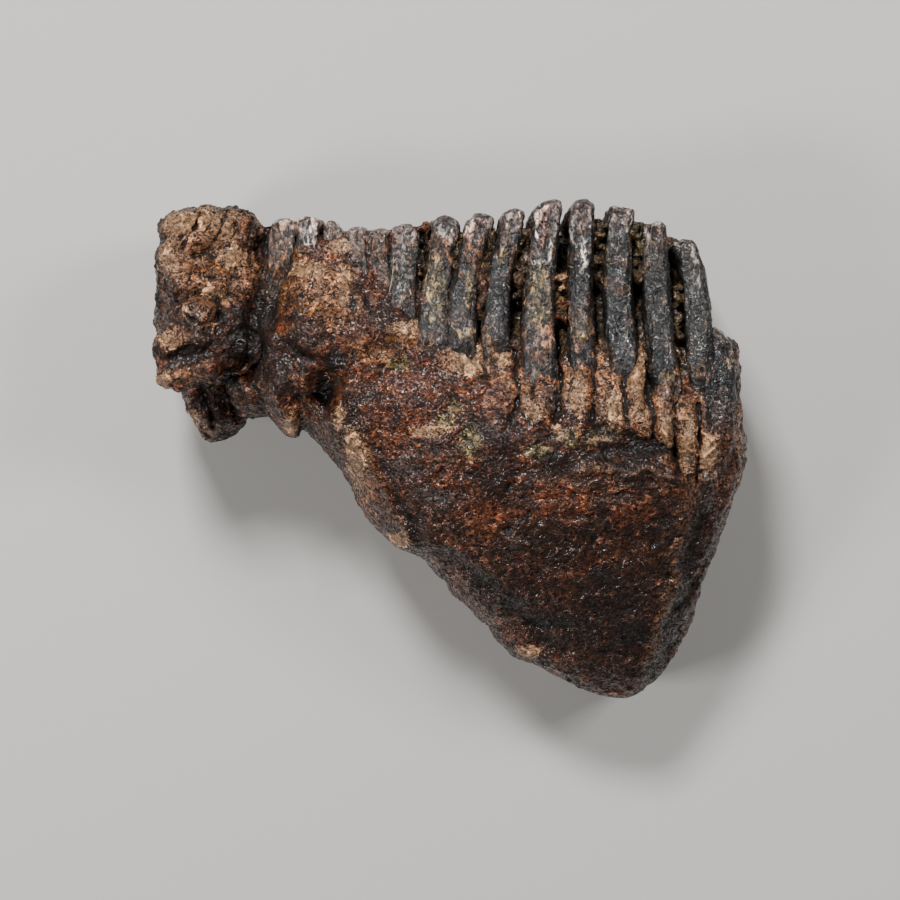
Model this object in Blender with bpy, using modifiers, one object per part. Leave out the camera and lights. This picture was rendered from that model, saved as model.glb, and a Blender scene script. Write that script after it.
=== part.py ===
"""Woolly mammoth cheek tooth, a fossil molar that lies on its side.

The tooth is one piece: a row of upright enamel plates bound in cement, with the
worn roots of its front end at -X. +X runs towards the tooth's hind end, +Y towards
the chewing surface and +Z up, away from the surface that the tooth rests on. The
origin is below the middle of its box, on that surface.

Every shape below is a loft of rounded sections, given in millimetres. The lofts are
fused into one skin, the skin is weathered, thinned to a light mesh, and planed off
where it rests.
"""

from itertools import product

import bmesh
import bpy
import numpy as np

MM = 0.001
TOOTH = "mammoth_tooth"

# Fusing and thinning
FUSE_VOXEL = 1.1
SKIN_TRIANGLES = 9300
RING_POINTS = 56
LOFT_STEP = 1.5

# Cement body, from under the plates to the tip: height, left, right, back, front
CEMENT_BODY = (
    (38.0, -57.0, 73.0, 12.0, 59.0),
    (33.0, -58.0, 78.5, 7.0, 64.0),
    (24.0, -58.0, 84.0, 3.4, 70.0),
    (15.0, -54.0, 86.6, 2.4, 73.0),
    (6.0, -44.0, 88.0, 2.0, 74.5),
    (0.0, -37.5, 88.2, 2.2, 74.5),
    (-9.0, -30.8, 86.6, 2.8, 73.0),
    (-18.5, -24.4, 83.8, 3.2, 70.5),
    (-29.5, -16.6, 80.2, 3.2, 66.0),
    (-33.0, -8.8, 78.8, 3.0, 64.5),
    (-44.5, 2.2, 75.2, 1.6, 59.0),
    (-54.0, 11.8, 72.2, 0.2, 53.5),
    (-62.0, 18.5, 68.2, -0.8, 49.0),
    (-68.0, 30.0, 64.2, 0.6, 45.0),
    (-72.4, 38.0, 60.0, 5.0, 40.0),
    (-75.2, 43.5, 55.4, 12.0, 35.0),
    (-76.5, 47.5, 51.9, 18.0, 30.0),
)
# Cement between the worn front plates, nearly flush with them
FRONT_CROWN = (
    (64.0, -52.5, -2.0, 13.0, 59.0),
    (61.0, -54.5, -0.5, 9.0, 64.5),
    (54.0, -55.5, 0.0, 6.0, 67.5),
    (45.0, -56.0, 1.5, 4.5, 69.5),
    (30.0, -57.5, 3.0, 2.5, 72.0),
    (15.0, -52.0, 3.0, 5.0, 70.0),
)
# Cement between the tall hind plates, eaten back deep between them
HIND_CROWN = (
    (62.0, -4.0, 68.5, 22.0, 50.0),
    (57.0, -5.0, 70.5, 17.0, 55.0),
    (45.0, -6.5, 73.0, 13.0, 59.0),
    (33.0, -7.5, 76.0, 9.0, 62.5),
    (22.0, -7.5, 80.0, 4.0, 67.0),
    (14.0, -7.5, 83.0, 1.5, 71.0),
)
# Cement that climbs higher round the feet of the middle plates
MIDDLE_CEMENT = (
    (34.0, -14.0, 17.0, 9.0, 62.0),
    (31.0, -16.0, 19.5, 4.0, 68.5),
    (22.0, -20.0, 24.0, 1.5, 71.0),
    (10.0, -20.0, 28.0, 2.0, 72.0),
)
# Low boss of the hind end
END_LOBE = (
    (32.8, 78.5, 83.0, 30.0, 46.0),
    (30.5, 75.5, 85.0, 21.0, 54.0),
    (24.0, 73.0, 86.0, 15.0, 60.0),
    (14.0, 71.0, 86.3, 11.0, 63.0),
    (2.0, 69.0, 86.3, 9.0, 64.0),
    (-10.0, 67.0, 83.5, 11.0, 61.0),
)
# Lumpy front end, with a broken corner that stands towards the viewer
FRONT_LOBE = (
    (69.8, -79.0, -63.0, 24.0, 50.0),
    (66.5, -82.8, -57.0, 15.0, 58.0),
    (60.0, -85.4, -54.5, 8.0, 64.0),
    (53.0, -86.4, -54.0, 4.0, 67.0),
    (43.0, -86.4, -54.0, 1.0, 69.5),
    (32.0, -85.6, -55.0, 0.0, 71.0),
    (24.0, -85.2, -58.0, 2.0, 71.5),
    (19.6, -85.0, -67.0, 18.0, 69.0),
    (18.0, -83.5, -74.0, 34.0, 64.0),
)
# Cement that binds the front lobe to the rest, below the groove between them
BRIDGE = (
    (65.0, -62.0, -45.0, 16.0, 56.0),
    (50.0, -64.0, -44.0, 10.0, 63.0),
    (30.0, -66.0, -44.0, 8.0, 65.5),
    (16.0, -66.0, -44.0, 11.0, 62.0),
    (9.5, -64.0, -48.0, 16.0, 54.0),
)
# Front root, set back behind the broken corner
FRONT_ROOT = (
    (27.0, -80.0, -60.0, 10.0, 54.0),
    (15.0, -79.0, -61.0, 11.0, 52.0),
    (9.0, -77.2, -62.0, 14.0, 49.0),
    (5.0, -74.2, -64.0, 19.0, 44.0),
    (2.6, -71.5, -67.0, 26.0, 38.0),
)
# Second root, a cone with a sharp worn point
SECOND_ROOT = (
    (33.0, -60.0, -38.0, 12.0, 68.5),
    (24.0, -58.6, -38.8, 13.0, 69.0),
    (15.0, -56.4, -40.5, 17.0, 67.0),
    (10.0, -54.0, -41.6, 23.0, 63.0),
    (6.5, -51.0, -43.2, 31.0, 58.0),
    (3.4, -47.4, -45.2, 41.0, 51.0),
)
# Worn rim of the base, a ledge behind the lower left edge
BASE_RIM = (
    (4.0, -38.0, -20.0, 20.0, 52.0),
    (-9.0, -31.0, -10.0, 18.0, 52.0),
    (-29.5, -16.4, 6.0, 18.0, 48.0),
    (-33.0, -9.0, 10.0, 18.0, 47.0),
    (-49.0, 7.0, 26.0, 14.0, 42.0),
    (-62.0, 19.5, 36.0, 12.0, 36.0),
)

# Enamel plates: tip x, tip y, x at mid height, foot x, foot y, thickness, half width
PLATE_SPACING = 10.4
PLATE_MID_Y = 43.6
PLATES = (
    (-47.9, 66.2, -48.6, -49.0, 39.0, 6.2, 31.5),
    (-41.0, 66.5, -41.0, -41.0, 39.0, 6.6, 32.0),
    (-33.8, 65.7, -33.6, -33.4, 39.0, 4.8, 32.0),
    (-26.6, 63.8, -26.4, -26.0, 38.0, 6.0, 32.0),
    (-18.9, 62.8, -18.8, -18.5, 38.0, 4.4, 31.5),
    (-12.6, 64.4, -12.9, -13.0, 33.5, 6.6, 32.5),
    (-0.9, 66.2, -3.8, -4.1, 30.5, 7.4, 32.5),
    (9.6, 67.7, 4.1, 3.6, 31.0, 6.4, 33.0),
    (18.9, 69.6, 14.5, 13.6, 30.5, 5.8, 33.0),
    (29.9, 71.3, 26.4, 26.1, 19.0, 6.6, 33.0),
    (38.7, 71.6, 38.3, 38.3, 26.0, 6.4, 32.5),
    (49.7, 69.3, 48.8, 51.4, 21.8, 7.4, 31.5),
    (59.6, 65.5, 60.1, 63.3, 16.0, 7.0, 30.0),
    (69.0, 61.2, 72.0, 74.3, 14.5, 6.6, 27.0),
)
# Stumps of the first plates, leaning in the front lobe
STUMPS = (
    (-58.6, 67.0, -63.5, -64.5, 44.0, 6.4, 26.0),
    (-64.8, 70.2, -70.0, -71.5, 46.0, 6.4, 24.0),
    (-71.4, 70.5, -76.0, -77.5, 48.0, 5.6, 21.0),
    (-78.4, 68.6, -80.5, -81.5, 48.0, 6.2, 19.0),
)
PLATE_CENTRE_Z = 37.0
FOOT_FLARE = 1.25
FOOT_WIDEN = 1.06
PLATE_ROOT_DEPTH = 14.0
PLATE_ROUNDNESS = (2.4, 11.0)
PLATE_CROWNING = ((0.0, 0.45), (0.7, 0.8), (2.2, 1.0))

# Cement left in the gaps between the hind plates: x, y, half sizes x, y, z, z
GAP_CEMENT = (
    (44.0, 55.0, 2.6, 9.0, 7.0, 58.0),
    (54.6, 56.0, 2.6, 8.0, 8.0, 57.0),
    (32.4, 42.0, 2.6, 7.0, 7.0, 61.0),
    (22.0, 52.0, 2.2, 10.0, 7.0, 59.0),
    (10.0, 45.0, 2.8, 8.0, 7.0, 60.0),
    (-8.6, 51.0, 3.0, 12.0, 7.0, 62.0),
    (66.0, 40.0, 2.2, 8.0, 6.0, 56.0),
    (44.0, 54.0, 2.6, 8.0, 9.0, 15.0),
    (22.0, 50.0, 2.4, 9.0, 9.0, 14.0),
    (55.5, 48.0, 2.6, 9.0, 8.0, 16.0),
)
# Lumps of the front lobe: x, y, z, radius
LOBE_LUMPS = (
    (-78.4, 62.6, 57.0, 6.2),
    (-71.2, 65.4, 56.0, 4.6),
    (-63.9, 64.0, 57.0, 6.0),
    (-57.4, 61.6, 58.0, 4.6),
    (-79.8, 55.4, 60.0, 6.0),
    (-73.2, 56.0, 63.0, 6.6),
    (-64.5, 54.4, 63.0, 6.2),
    (-76.5, 46.6, 65.5, 6.2),
    (-68.0, 46.2, 66.0, 6.6),
    (-60.4, 45.6, 65.0, 5.4),
    (-71.2, 38.0, 68.2, 5.8),
    (-63.3, 37.0, 66.5, 6.2),
    (-78.6, 29.0, 65.0, 6.6),
    (-73.5, 29.5, 67.2, 6.4),
    (-79.0, 22.6, 64.0, 5.4),
    (-62.2, 28.4, 64.5, 8.2),
    (-70.0, 24.6, 66.0, 6.2),
    (-76.0, 57.0, 12.0, 8.0),
    (-66.0, 50.0, 9.0, 8.5),
    (-77.0, 39.0, 8.5, 8.5),
    (-66.0, 31.0, 8.5, 8.0),
)
# Hollows and bosses of the upper face: x, y, half length x, half length y, depth
HOLLOWS = (
    (-36.0, 15.5, 4.2, 6.5, 10.0),
    (-60.0, 22.5, 3.6, 4.6, 8.0),
    (-67.0, 13.0, 6.0, 6.0, 3.0),
    (56.5, -1.0, 13.0, 3.8, 3.8),
    (-46.0, 25.5, 5.0, 2.6, 1.8),
    (-38.3, 43.6, 10.0, 8.0, -3.2),
    (-44.5, 32.5, 6.0, 5.0, -2.2),
    (-8.0, 16.0, 16.0, 11.0, -1.4),
)
# Creases: depth, half width, share of it off the upper face, and points x, y
CREASES = (
    (3.0, 1.6, 0.8, ((-53.4, 72.0), (-54.2, 52.0), (-56.0, 36.0), (-57.5, 24.0))),
    (2.2, 2.4, 0.0, ((61.5, -70.0), (69.5, -43.0), (72.4, -21.0), (73.5, -4.0))),
    (1.8, 1.5, 0.0, ((-5.5, -32.0), (11.5, -41.0), (23.5, -51.0), (33.5, -63.0))),
    (1.8, 1.5, 0.0, ((-21.5, 1.0), (-14.5, -17.0), (-8.0, -30.0))),
)
# Feet: worn high spots of the under side, planed flat where they bear: x, y, spread, drop
FEET = (
    (-71.0, 42.0, 12.0, 1.6),
    (66.0, 22.0, 13.0, 4.6),
    (45.0, -57.0, 10.0, 1.4),
)
BEARING_BLOCK = 400.0

# Weathering: how far each kind of relief stands out, and how far apart it repeats
SWAY_SIZE = 24.0
SWAY = (1.3, 1.5, 1.6)
RIDGE_HEIGHT = 2.2
LEDGE_HEIGHT = 0.3
LEDGE_SPACING = 6.5
LUMP_HEIGHT = 2.4
LUMP_SIZE = 12.0
FLUTE_HEIGHT = 0.8
FLUTE_SPACING = 9.0
BASE_HEIGHT = 0.9
BASE_SPACING = 14.0
ROUGH_HEIGHT = 0.8
ROUGH_SIZE = 8.0

FOSSIL_COLOUR = (0.105, 0.056, 0.038, 1.0)
FOSSIL_ROUGHNESS = 0.42

NOISE_CELLS = 256
rng = np.random.default_rng(11)
SHUFFLE = np.tile(rng.permutation(NOISE_CELLS), 2)
SLOPES = rng.normal(size=(NOISE_CELLS, 3))
SLOPES /= np.linalg.norm(SLOPES, axis=1, keepdims=True)
LATTICE_POINTS = rng.random((NOISE_CELLS, 3))


def lattice_index(cell):
    """The shuffled table index of each whole-numbered cell."""
    x, y, z = (cell % NOISE_CELLS).T
    return SHUFFLE[SHUFFLE[SHUFFLE[x] + y] + z]


def smooth_noise(points, size):
    """Gradient noise, about -1 to 1, whose bumps are size millimetres across."""
    scaled = points / size
    cell = np.floor(scaled).astype(int)
    inside = scaled - cell
    ease = inside**3 * (inside * (inside * 6 - 15) + 10)
    total = np.zeros(len(points))
    for corner in product((0, 1), repeat=3):
        slope = SLOPES[lattice_index(cell + corner)]
        weight = np.prod(np.where(corner, ease, 1 - ease), axis=1)
        total += weight * ((inside - corner) * slope).sum(axis=1)
    return total * 1.7


def layered_noise(points, size, layers):
    """Layers of smooth noise, each half as wide and half as strong as the last."""
    total = sum(smooth_noise(points + 37 * k, size / 2**k) / 2**k for k in range(layers))
    return total / (2 - 0.5 ** (layers - 1))


def lump_noise(points, size):
    """Rounded lumps side by side, 1 at a lump's middle and 0 in the creases."""
    scaled = points / size
    cell = np.floor(scaled).astype(int)
    nearest = np.full(len(points), 9.0)
    for step in product((-1, 0, 1), repeat=3):
        neighbour = cell + step
        middle = neighbour + LATTICE_POINTS[lattice_index(neighbour)]
        nearest = np.minimum(nearest, np.linalg.norm(scaled - middle, axis=1))
    return np.clip(1 - nearest, 0, 1)


def fade(value, start, end):
    """0 at start, 1 at end, smooth between them; start may be above end."""
    share = np.clip((value - start) / (end - start), 0, 1)
    return share * share * (3 - 2 * share)


def smooth_table(rows, step):
    """Rows ordered by their first column, filled in along a smooth curve."""
    table = np.array(rows, float)
    along = np.abs(np.diff(table[:, 0]))
    grades = np.diff(table, axis=0) / along[:, None]
    tangents = np.vstack([grades[:1], (grades[1:] + grades[:-1]) / 2, grades[-1:]])
    filled = []
    for k, length in enumerate(along):
        for t in np.arange(0, length, step) / length:
            start = (2 * t**3 - 3 * t**2 + 1) * table[k] + (t**3 - 2 * t**2 + t) * length * tangents[k]
            end = (3 * t**2 - 2 * t**3) * table[k + 1] + (t**3 - t**2) * length * tangents[k + 1]
            filled.append(start + end)
    return np.array([*filled, table[-1]])


def rounded_section(centre, half_x, half_z, round_x, round_z):
    """A level ring: an oval whose corners are fuller as the powers rise."""
    angle = np.linspace(0, 2 * np.pi, RING_POINTS, endpoint=False)
    c, s = np.cos(angle), np.sin(angle)
    x = half_x * np.sign(c) * np.abs(c) ** (2 / round_x)
    z = half_z * np.sign(s) * np.abs(s) ** (2 / round_z)
    return np.stack([centre[0] + x, np.full(RING_POINTS, centre[1]), centre[2] + z], axis=1)


def add_loft(bm, rings):
    """Skins the rings, top to bottom, and closes both ends."""
    loops = [[bm.verts.new(point) for point in ring] for ring in rings]
    for upper, lower in zip(loops, loops[1:]):
        for k in range(RING_POINTS):
            following = (k + 1) % RING_POINTS
            bm.faces.new((upper[k], upper[following], lower[following], lower[k]))
    bm.faces.new(reversed(loops[0]))
    bm.faces.new(loops[-1])


def add_body(bm, rows, roundness):
    """Lofts a part of the body from its rows of height, left, right, back and front."""
    rings = []
    for y, left, right, back, front in smooth_table(rows, LOFT_STEP):
        centre = ((left + right) / 2, y, (back + front) / 2)
        rings.append(rounded_section(centre, (right - left) / 2, (front - back) / 2, roundness, roundness))
    add_loft(bm, rings)


def add_plate(bm, plate):
    """Lofts one enamel plate: a thin tongue with rounded edges and a worn tip."""
    tip_x, tip_y, mid_x, foot_x, foot_y, thickness, half_width = plate
    path = [(tip_y, tip_x, 1.0, 0.97)]
    if foot_y < PLATE_MID_Y:
        path.append((PLATE_MID_Y, mid_x, 1.08, 1.0))
    path.append((foot_y, foot_x, FOOT_FLARE, FOOT_WIDEN))
    path.append((foot_y - PLATE_ROOT_DEPTH, foot_x, FOOT_FLARE, FOOT_WIDEN * 0.9))
    depths, shares = zip(*PLATE_CROWNING)
    rings = []
    for y, x, thicker, wider in smooth_table(path, LOFT_STEP):
        crowned = np.interp(tip_y - y, depths, shares)
        half_x = thickness / 2 * thicker * crowned
        half_z = half_width * wider * (0.88 + 0.12 * crowned)
        rings.append(rounded_section((x, y, PLATE_CENTRE_Z), half_x, half_z, *PLATE_ROUNDNESS))
    add_loft(bm, rings)


def add_ball(bm, centre, radii):
    """Adds an oval lump."""
    made = bmesh.ops.create_icosphere(bm, subdivisions=3, radius=1.0)
    bmesh.ops.scale(bm, vec=radii, verts=made["verts"])
    bmesh.ops.translate(bm, vec=centre, verts=made["verts"])


def raw_tooth():
    """All the forms of the tooth, overlapping, in one mesh."""
    bm = bmesh.new()
    add_body(bm, CEMENT_BODY, 3.0)
    add_body(bm, FRONT_CROWN, 3.4)
    add_body(bm, HIND_CROWN, 3.4)
    add_body(bm, MIDDLE_CEMENT, 3.4)
    add_body(bm, END_LOBE, 2.6)
    add_body(bm, FRONT_LOBE, 3.2)
    add_body(bm, BRIDGE, 3.0)
    add_body(bm, FRONT_ROOT, 2.4)
    add_body(bm, SECOND_ROOT, 2.2)
    add_body(bm, BASE_RIM, 2.4)
    for plate in PLATES + STUMPS:
        add_plate(bm, plate)
    for x, y, half_x, half_y, half_z, z in GAP_CEMENT:
        add_ball(bm, (x, y, z), (half_x, half_y, half_z))
    for x, y, z, radius in LOBE_LUMPS:
        add_ball(bm, (x, y, z), (radius, radius, radius * 0.9))
    bmesh.ops.recalc_face_normals(bm, faces=bm.faces)
    mesh = bpy.data.meshes.new(TOOTH + "_forms")
    bm.to_mesh(mesh)
    bm.free()
    return mesh


def fused(mesh, voxel):
    """One closed skin round all the overlapping forms."""
    forms = bpy.data.objects.new(TOOTH + "_forms", mesh)
    bpy.context.collection.objects.link(forms)
    remesh = forms.modifiers.new("fuse", "REMESH")
    remesh.mode = "VOXEL"
    remesh.voxel_size = voxel
    bpy.context.view_layer.update()
    graph = bpy.context.evaluated_depsgraph_get()
    skin = bpy.data.meshes.new_from_object(forms.evaluated_get(graph))
    bpy.data.objects.remove(forms)
    bpy.data.meshes.remove(mesh)
    return skin


def read_points(mesh):
    """The mesh's points and normals as arrays."""
    points = np.empty(len(mesh.vertices) * 3, np.float32)
    mesh.vertices.foreach_get("co", points)
    normals = np.empty(len(mesh.vertices) * 3, np.float32)
    mesh.vertices.foreach_get("normal", normals)
    return points.reshape(-1, 3).astype(float), normals.reshape(-1, 3).astype(float)


def write_points(mesh, points):
    """Moves the mesh's points."""
    mesh.vertices.foreach_set("co", points.astype(np.float32).ravel())
    mesh.update()


def line_distance(points, line):
    """How far each point is from a line of straight runs, seen along z."""
    nearest = np.full(len(points), 1e9)
    for start, end in zip(np.array(line), np.array(line[1:])):
        run = end - start
        share = np.clip(((points[:, :2] - start) @ run) / (run @ run), 0, 1)
        nearest = np.minimum(nearest, np.linalg.norm(points[:, :2] - start - share[:, None] * run, axis=1))
    return nearest


def sway(points):
    """A slow sideways drift, so that no plate or edge stays ruled."""
    drift = [layered_noise(points + offset, SWAY_SIZE, 2) for offset in (0.0, 211.0, 433.0)]
    return np.stack(drift, axis=1) * np.array(SWAY)


def plate_place(points):
    """Across the nearest plate: 0 on its middle line and 1 halfway to the next."""
    lines = [
        np.interp(points[:, 1], (foot_y, PLATE_MID_Y, tip_y), (foot_x, mid_x, tip_x))
        for tip_x, tip_y, mid_x, foot_x, foot_y, _, _ in PLATES
    ]
    off_line = np.min(np.abs(np.array(lines) - points[:, 0]), axis=0)
    return np.clip(off_line / (PLATE_SPACING / 2), 0, 1)


def cement_ridges(points, normals):
    """Ridges that carry the hind plates' lines on below their feet."""
    x, y, _ = points.T
    below_plates = fade(y, 2.0, 6.0) * fade(y, 36.0, 24.0) * fade(x, 12.0, 28.0)
    return RIDGE_HEIGHT * (0.5 - plate_place(points)) * below_plates * (1 - np.abs(normals[:, 1]))


def growth_ledges(points):
    """Level ledges that ring the cement body."""
    y = points[:, 1]
    wavering = y + 2.2 * smooth_noise(points, 18.0)
    return LEDGE_HEIGHT * np.sin(wavering * 2 * np.pi / LEDGE_SPACING) * fade(y, 12.0, -4.0)


def lumps(points):
    """Lumps of the front lobe, and lower ones round the second root."""
    x, y, _ = points.T
    on_lobe = fade(x, -54.0, -62.0)
    on_root = 0.45 * fade(x, -30.0, -48.0) * fade(y, 40.0, 25.0)
    return LUMP_HEIGHT * (lump_noise(points, LUMP_SIZE) - 0.45) * np.maximum(on_lobe, on_root)


def flutes(points, normals):
    """Flutes that run down the hind end."""
    across = points[:, 2] * 2 * np.pi / FLUTE_SPACING + 1.5 * smooth_noise(points, 30.0)
    return FLUTE_HEIGHT * np.sin(across) * fade(normals[:, 0], 0.25, 0.8) * fade(points[:, 0], 40.0, 60.0)


def plate_bases(points, normals):
    """The plates' lower ends, which cross the worn under edge."""
    x, y, _ = points.T
    on_edge = fade(-normals[:, 0] - normals[:, 1], 0.7, 1.2) * fade(x - y, 20.0, 45.0) * fade(y, 4.0, -6.0)
    return BASE_HEIGHT * np.sin((x - y) * 2 * np.pi / BASE_SPACING) * on_edge


def relief(points, normals):
    """How far each point of the skin stands out, in millimetres."""
    x, y, _ = points.T
    facing = fade(normals[:, 2], 0.1, 0.6)
    height = cement_ridges(points, normals) + growth_ledges(points) + lumps(points)
    height += flutes(points, normals) + plate_bases(points, normals)
    for hollow_x, hollow_y, half_x, half_y, depth in HOLLOWS:
        reach = ((x - hollow_x) / half_x) ** 2 + ((y - hollow_y) / half_y) ** 2
        height -= depth * np.exp(-reach) * facing
    for depth, half_width, all_round, line in CREASES:
        near = np.exp(-((line_distance(points, line) / half_width) ** 2))
        height -= depth * near * np.maximum(facing, all_round)
    return height + ROUGH_HEIGHT * layered_noise(points, ROUGH_SIZE, 2)


def drop_feet(points, normals):
    """Lowers the three high spots of the under side that the tooth rests on."""
    under = fade(-normals[:, 2], 0.2, 0.7)
    for x, y, spread, drop in FEET:
        reach = ((points[:, 0] - x) ** 2 + (points[:, 1] - y) ** 2) / spread**2
        points[:, 2] -= drop * np.exp(-reach) * under
    return points


def fossil_material():
    """Dark red-brown cement with a soft sheen."""
    material = bpy.data.materials.new("fossil_tooth")
    material.use_nodes = True
    shader = material.node_tree.nodes["Principled BSDF"]
    shader.inputs["Base Color"].default_value = FOSSIL_COLOUR
    shader.inputs["Roughness"].default_value = FOSSIL_ROUGHNESS
    shader.inputs["Metallic"].default_value = 0.0
    return material


def bearing_block(cutters):
    """The space under the resting surface, which planes the feet flat."""
    bm = bmesh.new()
    bmesh.ops.create_cube(bm, size=BEARING_BLOCK * MM)
    bmesh.ops.translate(bm, vec=(0, 0, -BEARING_BLOCK * MM / 2), verts=bm.verts)
    mesh = bpy.data.meshes.new("bearing_block")
    bm.to_mesh(mesh)
    bm.free()
    block = bpy.data.objects.new("bearing_block", mesh)
    block.hide_render = True
    block.display_type = "WIRE"
    cutters.objects.link(block)
    return block


def box_middle(obj):
    """The middle of the finished object's box."""
    graph = bpy.context.evaluated_depsgraph_get()
    finished = obj.evaluated_get(graph)
    corners = np.array([obj.matrix_world @ vertex.co for vertex in finished.data.vertices])
    return (corners.min(axis=0) + corners.max(axis=0)) / 2


def build_tooth(parts, cutters):
    """The finished tooth."""
    skin = fused(raw_tooth(), FUSE_VOXEL)
    points, _ = read_points(skin)
    write_points(skin, points + sway(points))
    points, normals = read_points(skin)
    points += normals * relief(points, normals)[:, None]
    points = drop_feet(points, normals)
    write_points(skin, points * MM)
    skin.shade_smooth()
    skin.materials.clear()
    skin.materials.append(fossil_material())
    skin.name = TOOTH
    tooth = bpy.data.objects.new(TOOTH, skin)
    parts.objects.link(tooth)
    skin.calc_loop_triangles()
    thin = tooth.modifiers.new("thin", "DECIMATE")
    thin.ratio = SKIN_TRIANGLES / len(skin.loop_triangles)
    thin.use_collapse_triangulate = True
    plane_off = tooth.modifiers.new("plane_off", "BOOLEAN")
    plane_off.operation = "DIFFERENCE"
    plane_off.object = bearing_block(cutters)
    bpy.context.view_layer.update()
    middle = box_middle(tooth)
    tooth.location = (-middle[0], -middle[1], 0.0)
    return tooth


def main():
    for obj in list(bpy.data.objects):
        bpy.data.objects.remove(obj)
    parts = bpy.data.collections.new(TOOTH)
    cutters = bpy.data.collections.new("cutters")
    bpy.context.scene.collection.children.link(parts)
    bpy.context.scene.collection.children.link(cutters)
    build_tooth(parts, cutters)


main()
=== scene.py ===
"""Looks of a fossil woolly mammoth molar that lies on its side.

The tooth is made again here as a fine skin over the same forms as its solid: the
cement body, the lumpy front lobe and the enamel plates. Forms are in millimetres, in
the maker's own frame, +Y towards the chewing edge and +Z towards the viewer, and are
moved onto the frame's solid at the end.
"""

from itertools import product

import bmesh
import bpy
import numpy as np
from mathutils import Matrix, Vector
from mathutils.bvhtree import BVHTree


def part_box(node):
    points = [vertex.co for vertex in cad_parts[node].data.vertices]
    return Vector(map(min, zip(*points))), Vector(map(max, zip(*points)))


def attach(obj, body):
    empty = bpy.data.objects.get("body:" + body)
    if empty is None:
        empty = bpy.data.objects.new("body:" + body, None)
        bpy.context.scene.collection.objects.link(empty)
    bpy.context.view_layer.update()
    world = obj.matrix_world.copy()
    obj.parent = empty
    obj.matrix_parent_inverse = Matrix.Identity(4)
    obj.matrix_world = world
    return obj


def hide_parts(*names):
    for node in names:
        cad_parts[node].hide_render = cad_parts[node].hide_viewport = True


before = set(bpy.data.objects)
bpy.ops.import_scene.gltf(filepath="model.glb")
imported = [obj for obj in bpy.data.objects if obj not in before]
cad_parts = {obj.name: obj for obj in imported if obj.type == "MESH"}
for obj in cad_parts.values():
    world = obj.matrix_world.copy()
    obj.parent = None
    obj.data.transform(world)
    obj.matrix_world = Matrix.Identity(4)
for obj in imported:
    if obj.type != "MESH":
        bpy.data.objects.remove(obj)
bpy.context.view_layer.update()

MM = 0.001
TOOTH = "mammoth_tooth"

# Fineness of the skins
CEMENT_VOXEL = 0.55
LOBE_VOXEL = 0.5
PIECE_TRIANGLES = 190000
LOBE_TRIANGLES = 150000
RING_POINTS = 96
LOFT_STEP = 1

# Cement body, from under the plates to the tip: height, left, right, back, front
CEMENT_BODY = (
    (38, -57, 73, 12, 59), (33, -58, 78.5, 7, 64), (24, -58, 84, 3.4, 70), (15, -54, 86.6, 2.4, 73),
    (6, -44, 88, 2, 74.5), (0, -37.5, 88.2, 2.2, 74.5), (-9, -30.8, 86.6, 2.8, 73),
    (-18.5, -24.4, 83.8, 3.2, 70.5), (-29.5, -16.6, 80.2, 3.2, 66), (-33, -8.8, 78.8, 3, 64.5),
    (-44.5, 2.2, 75.2, 1.6, 59), (-54, 11.8, 72.2, 0.2, 53.5), (-62, 18.5, 68.2, -0.8, 49),
    (-68, 30, 64.2, 0.6, 45), (-72.4, 38, 60, 5, 40), (-75.2, 43.5, 55.4, 12, 35),
    (-76.5, 47.5, 51.9, 18, 30),
)
# Cement between the worn front plates, nearly flush with them
FRONT_CROWN = (
    (62.4, -51.5, -7, 11, 63), (60.6, -54.5, -5, 8, 66.4), (54, -55.5, -2, 6, 68),
    (45, -56, 1.5, 4.5, 69.6), (30, -57.5, 3, 2.5, 72), (15, -52, 3, 5, 70),
)
# Cement between the tall hind plates, eaten back deep between them
HIND_CROWN = (
    (62, -4, 68.5, 22, 50), (57, -5, 70.5, 17, 55), (45, -6.5, 73, 13, 59), (33, -7.5, 76, 9, 62.5),
    (22, -7.5, 80, 4, 67), (14, -7.5, 83, 1.5, 71),
)
# Cement that climbs higher round the feet of the middle plates
MIDDLE_CEMENT = (
    (34, -14, 17, 9, 62), (31, -16, 19.5, 4, 68.5), (22, -20, 24, 1.5, 71), (10, -20, 28, 2, 72),
)
# Low boss of the hind end
END_LOBE = (
    (33, 75.5, 82, 20, 52), (30, 73.5, 85.6, 13, 58.6), (24, 72.5, 87.4, 11, 61.6),
    (14, 71, 87, 10, 65.4), (2, 69, 87, 9, 66), (-10, 67, 83.5, 11, 61),
)
# Lumpy front end, with a broken corner that stands towards the viewer
FRONT_LOBE = (
    (69.8, -79, -63, 24, 50), (66.5, -82.8, -57, 15, 58), (60, -85.4, -54.5, 8, 64),
    (53, -86.4, -54, 4, 67), (43, -86.4, -54, 1, 69.5), (32, -85.6, -55, 0, 71),
    (24, -85.2, -58, 2, 71.5), (19.6, -85, -67, 18, 69), (18, -83.5, -74, 34, 64),
)
# Cement that binds the front lobe to the rest, below the groove between them
BRIDGE = (
    (65, -62, -45, 16, 56), (50, -64, -44, 10, 63), (30, -66, -44, 8, 65.5), (16, -66, -44, 11, 62),
    (9.5, -64, -48, 16, 54),
)
# Front root, set back behind the broken corner
FRONT_ROOT = (
    (27, -80, -60, 10, 54), (15, -79, -61, 11, 52), (9, -77.2, -62, 14, 49), (5, -74.2, -64, 19, 44),
    (2.6, -71.5, -67, 26, 38),
)
# Second root, a cone with a sharp worn point
SECOND_ROOT = (
    (33, -60, -38, 12, 68.5), (24, -58.6, -38.8, 13, 69), (15, -56.4, -40.5, 17, 67),
    (10, -54, -41.6, 23, 63), (6.5, -51, -43.2, 31, 58), (3.4, -47.4, -45.2, 41, 51),
)
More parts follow.
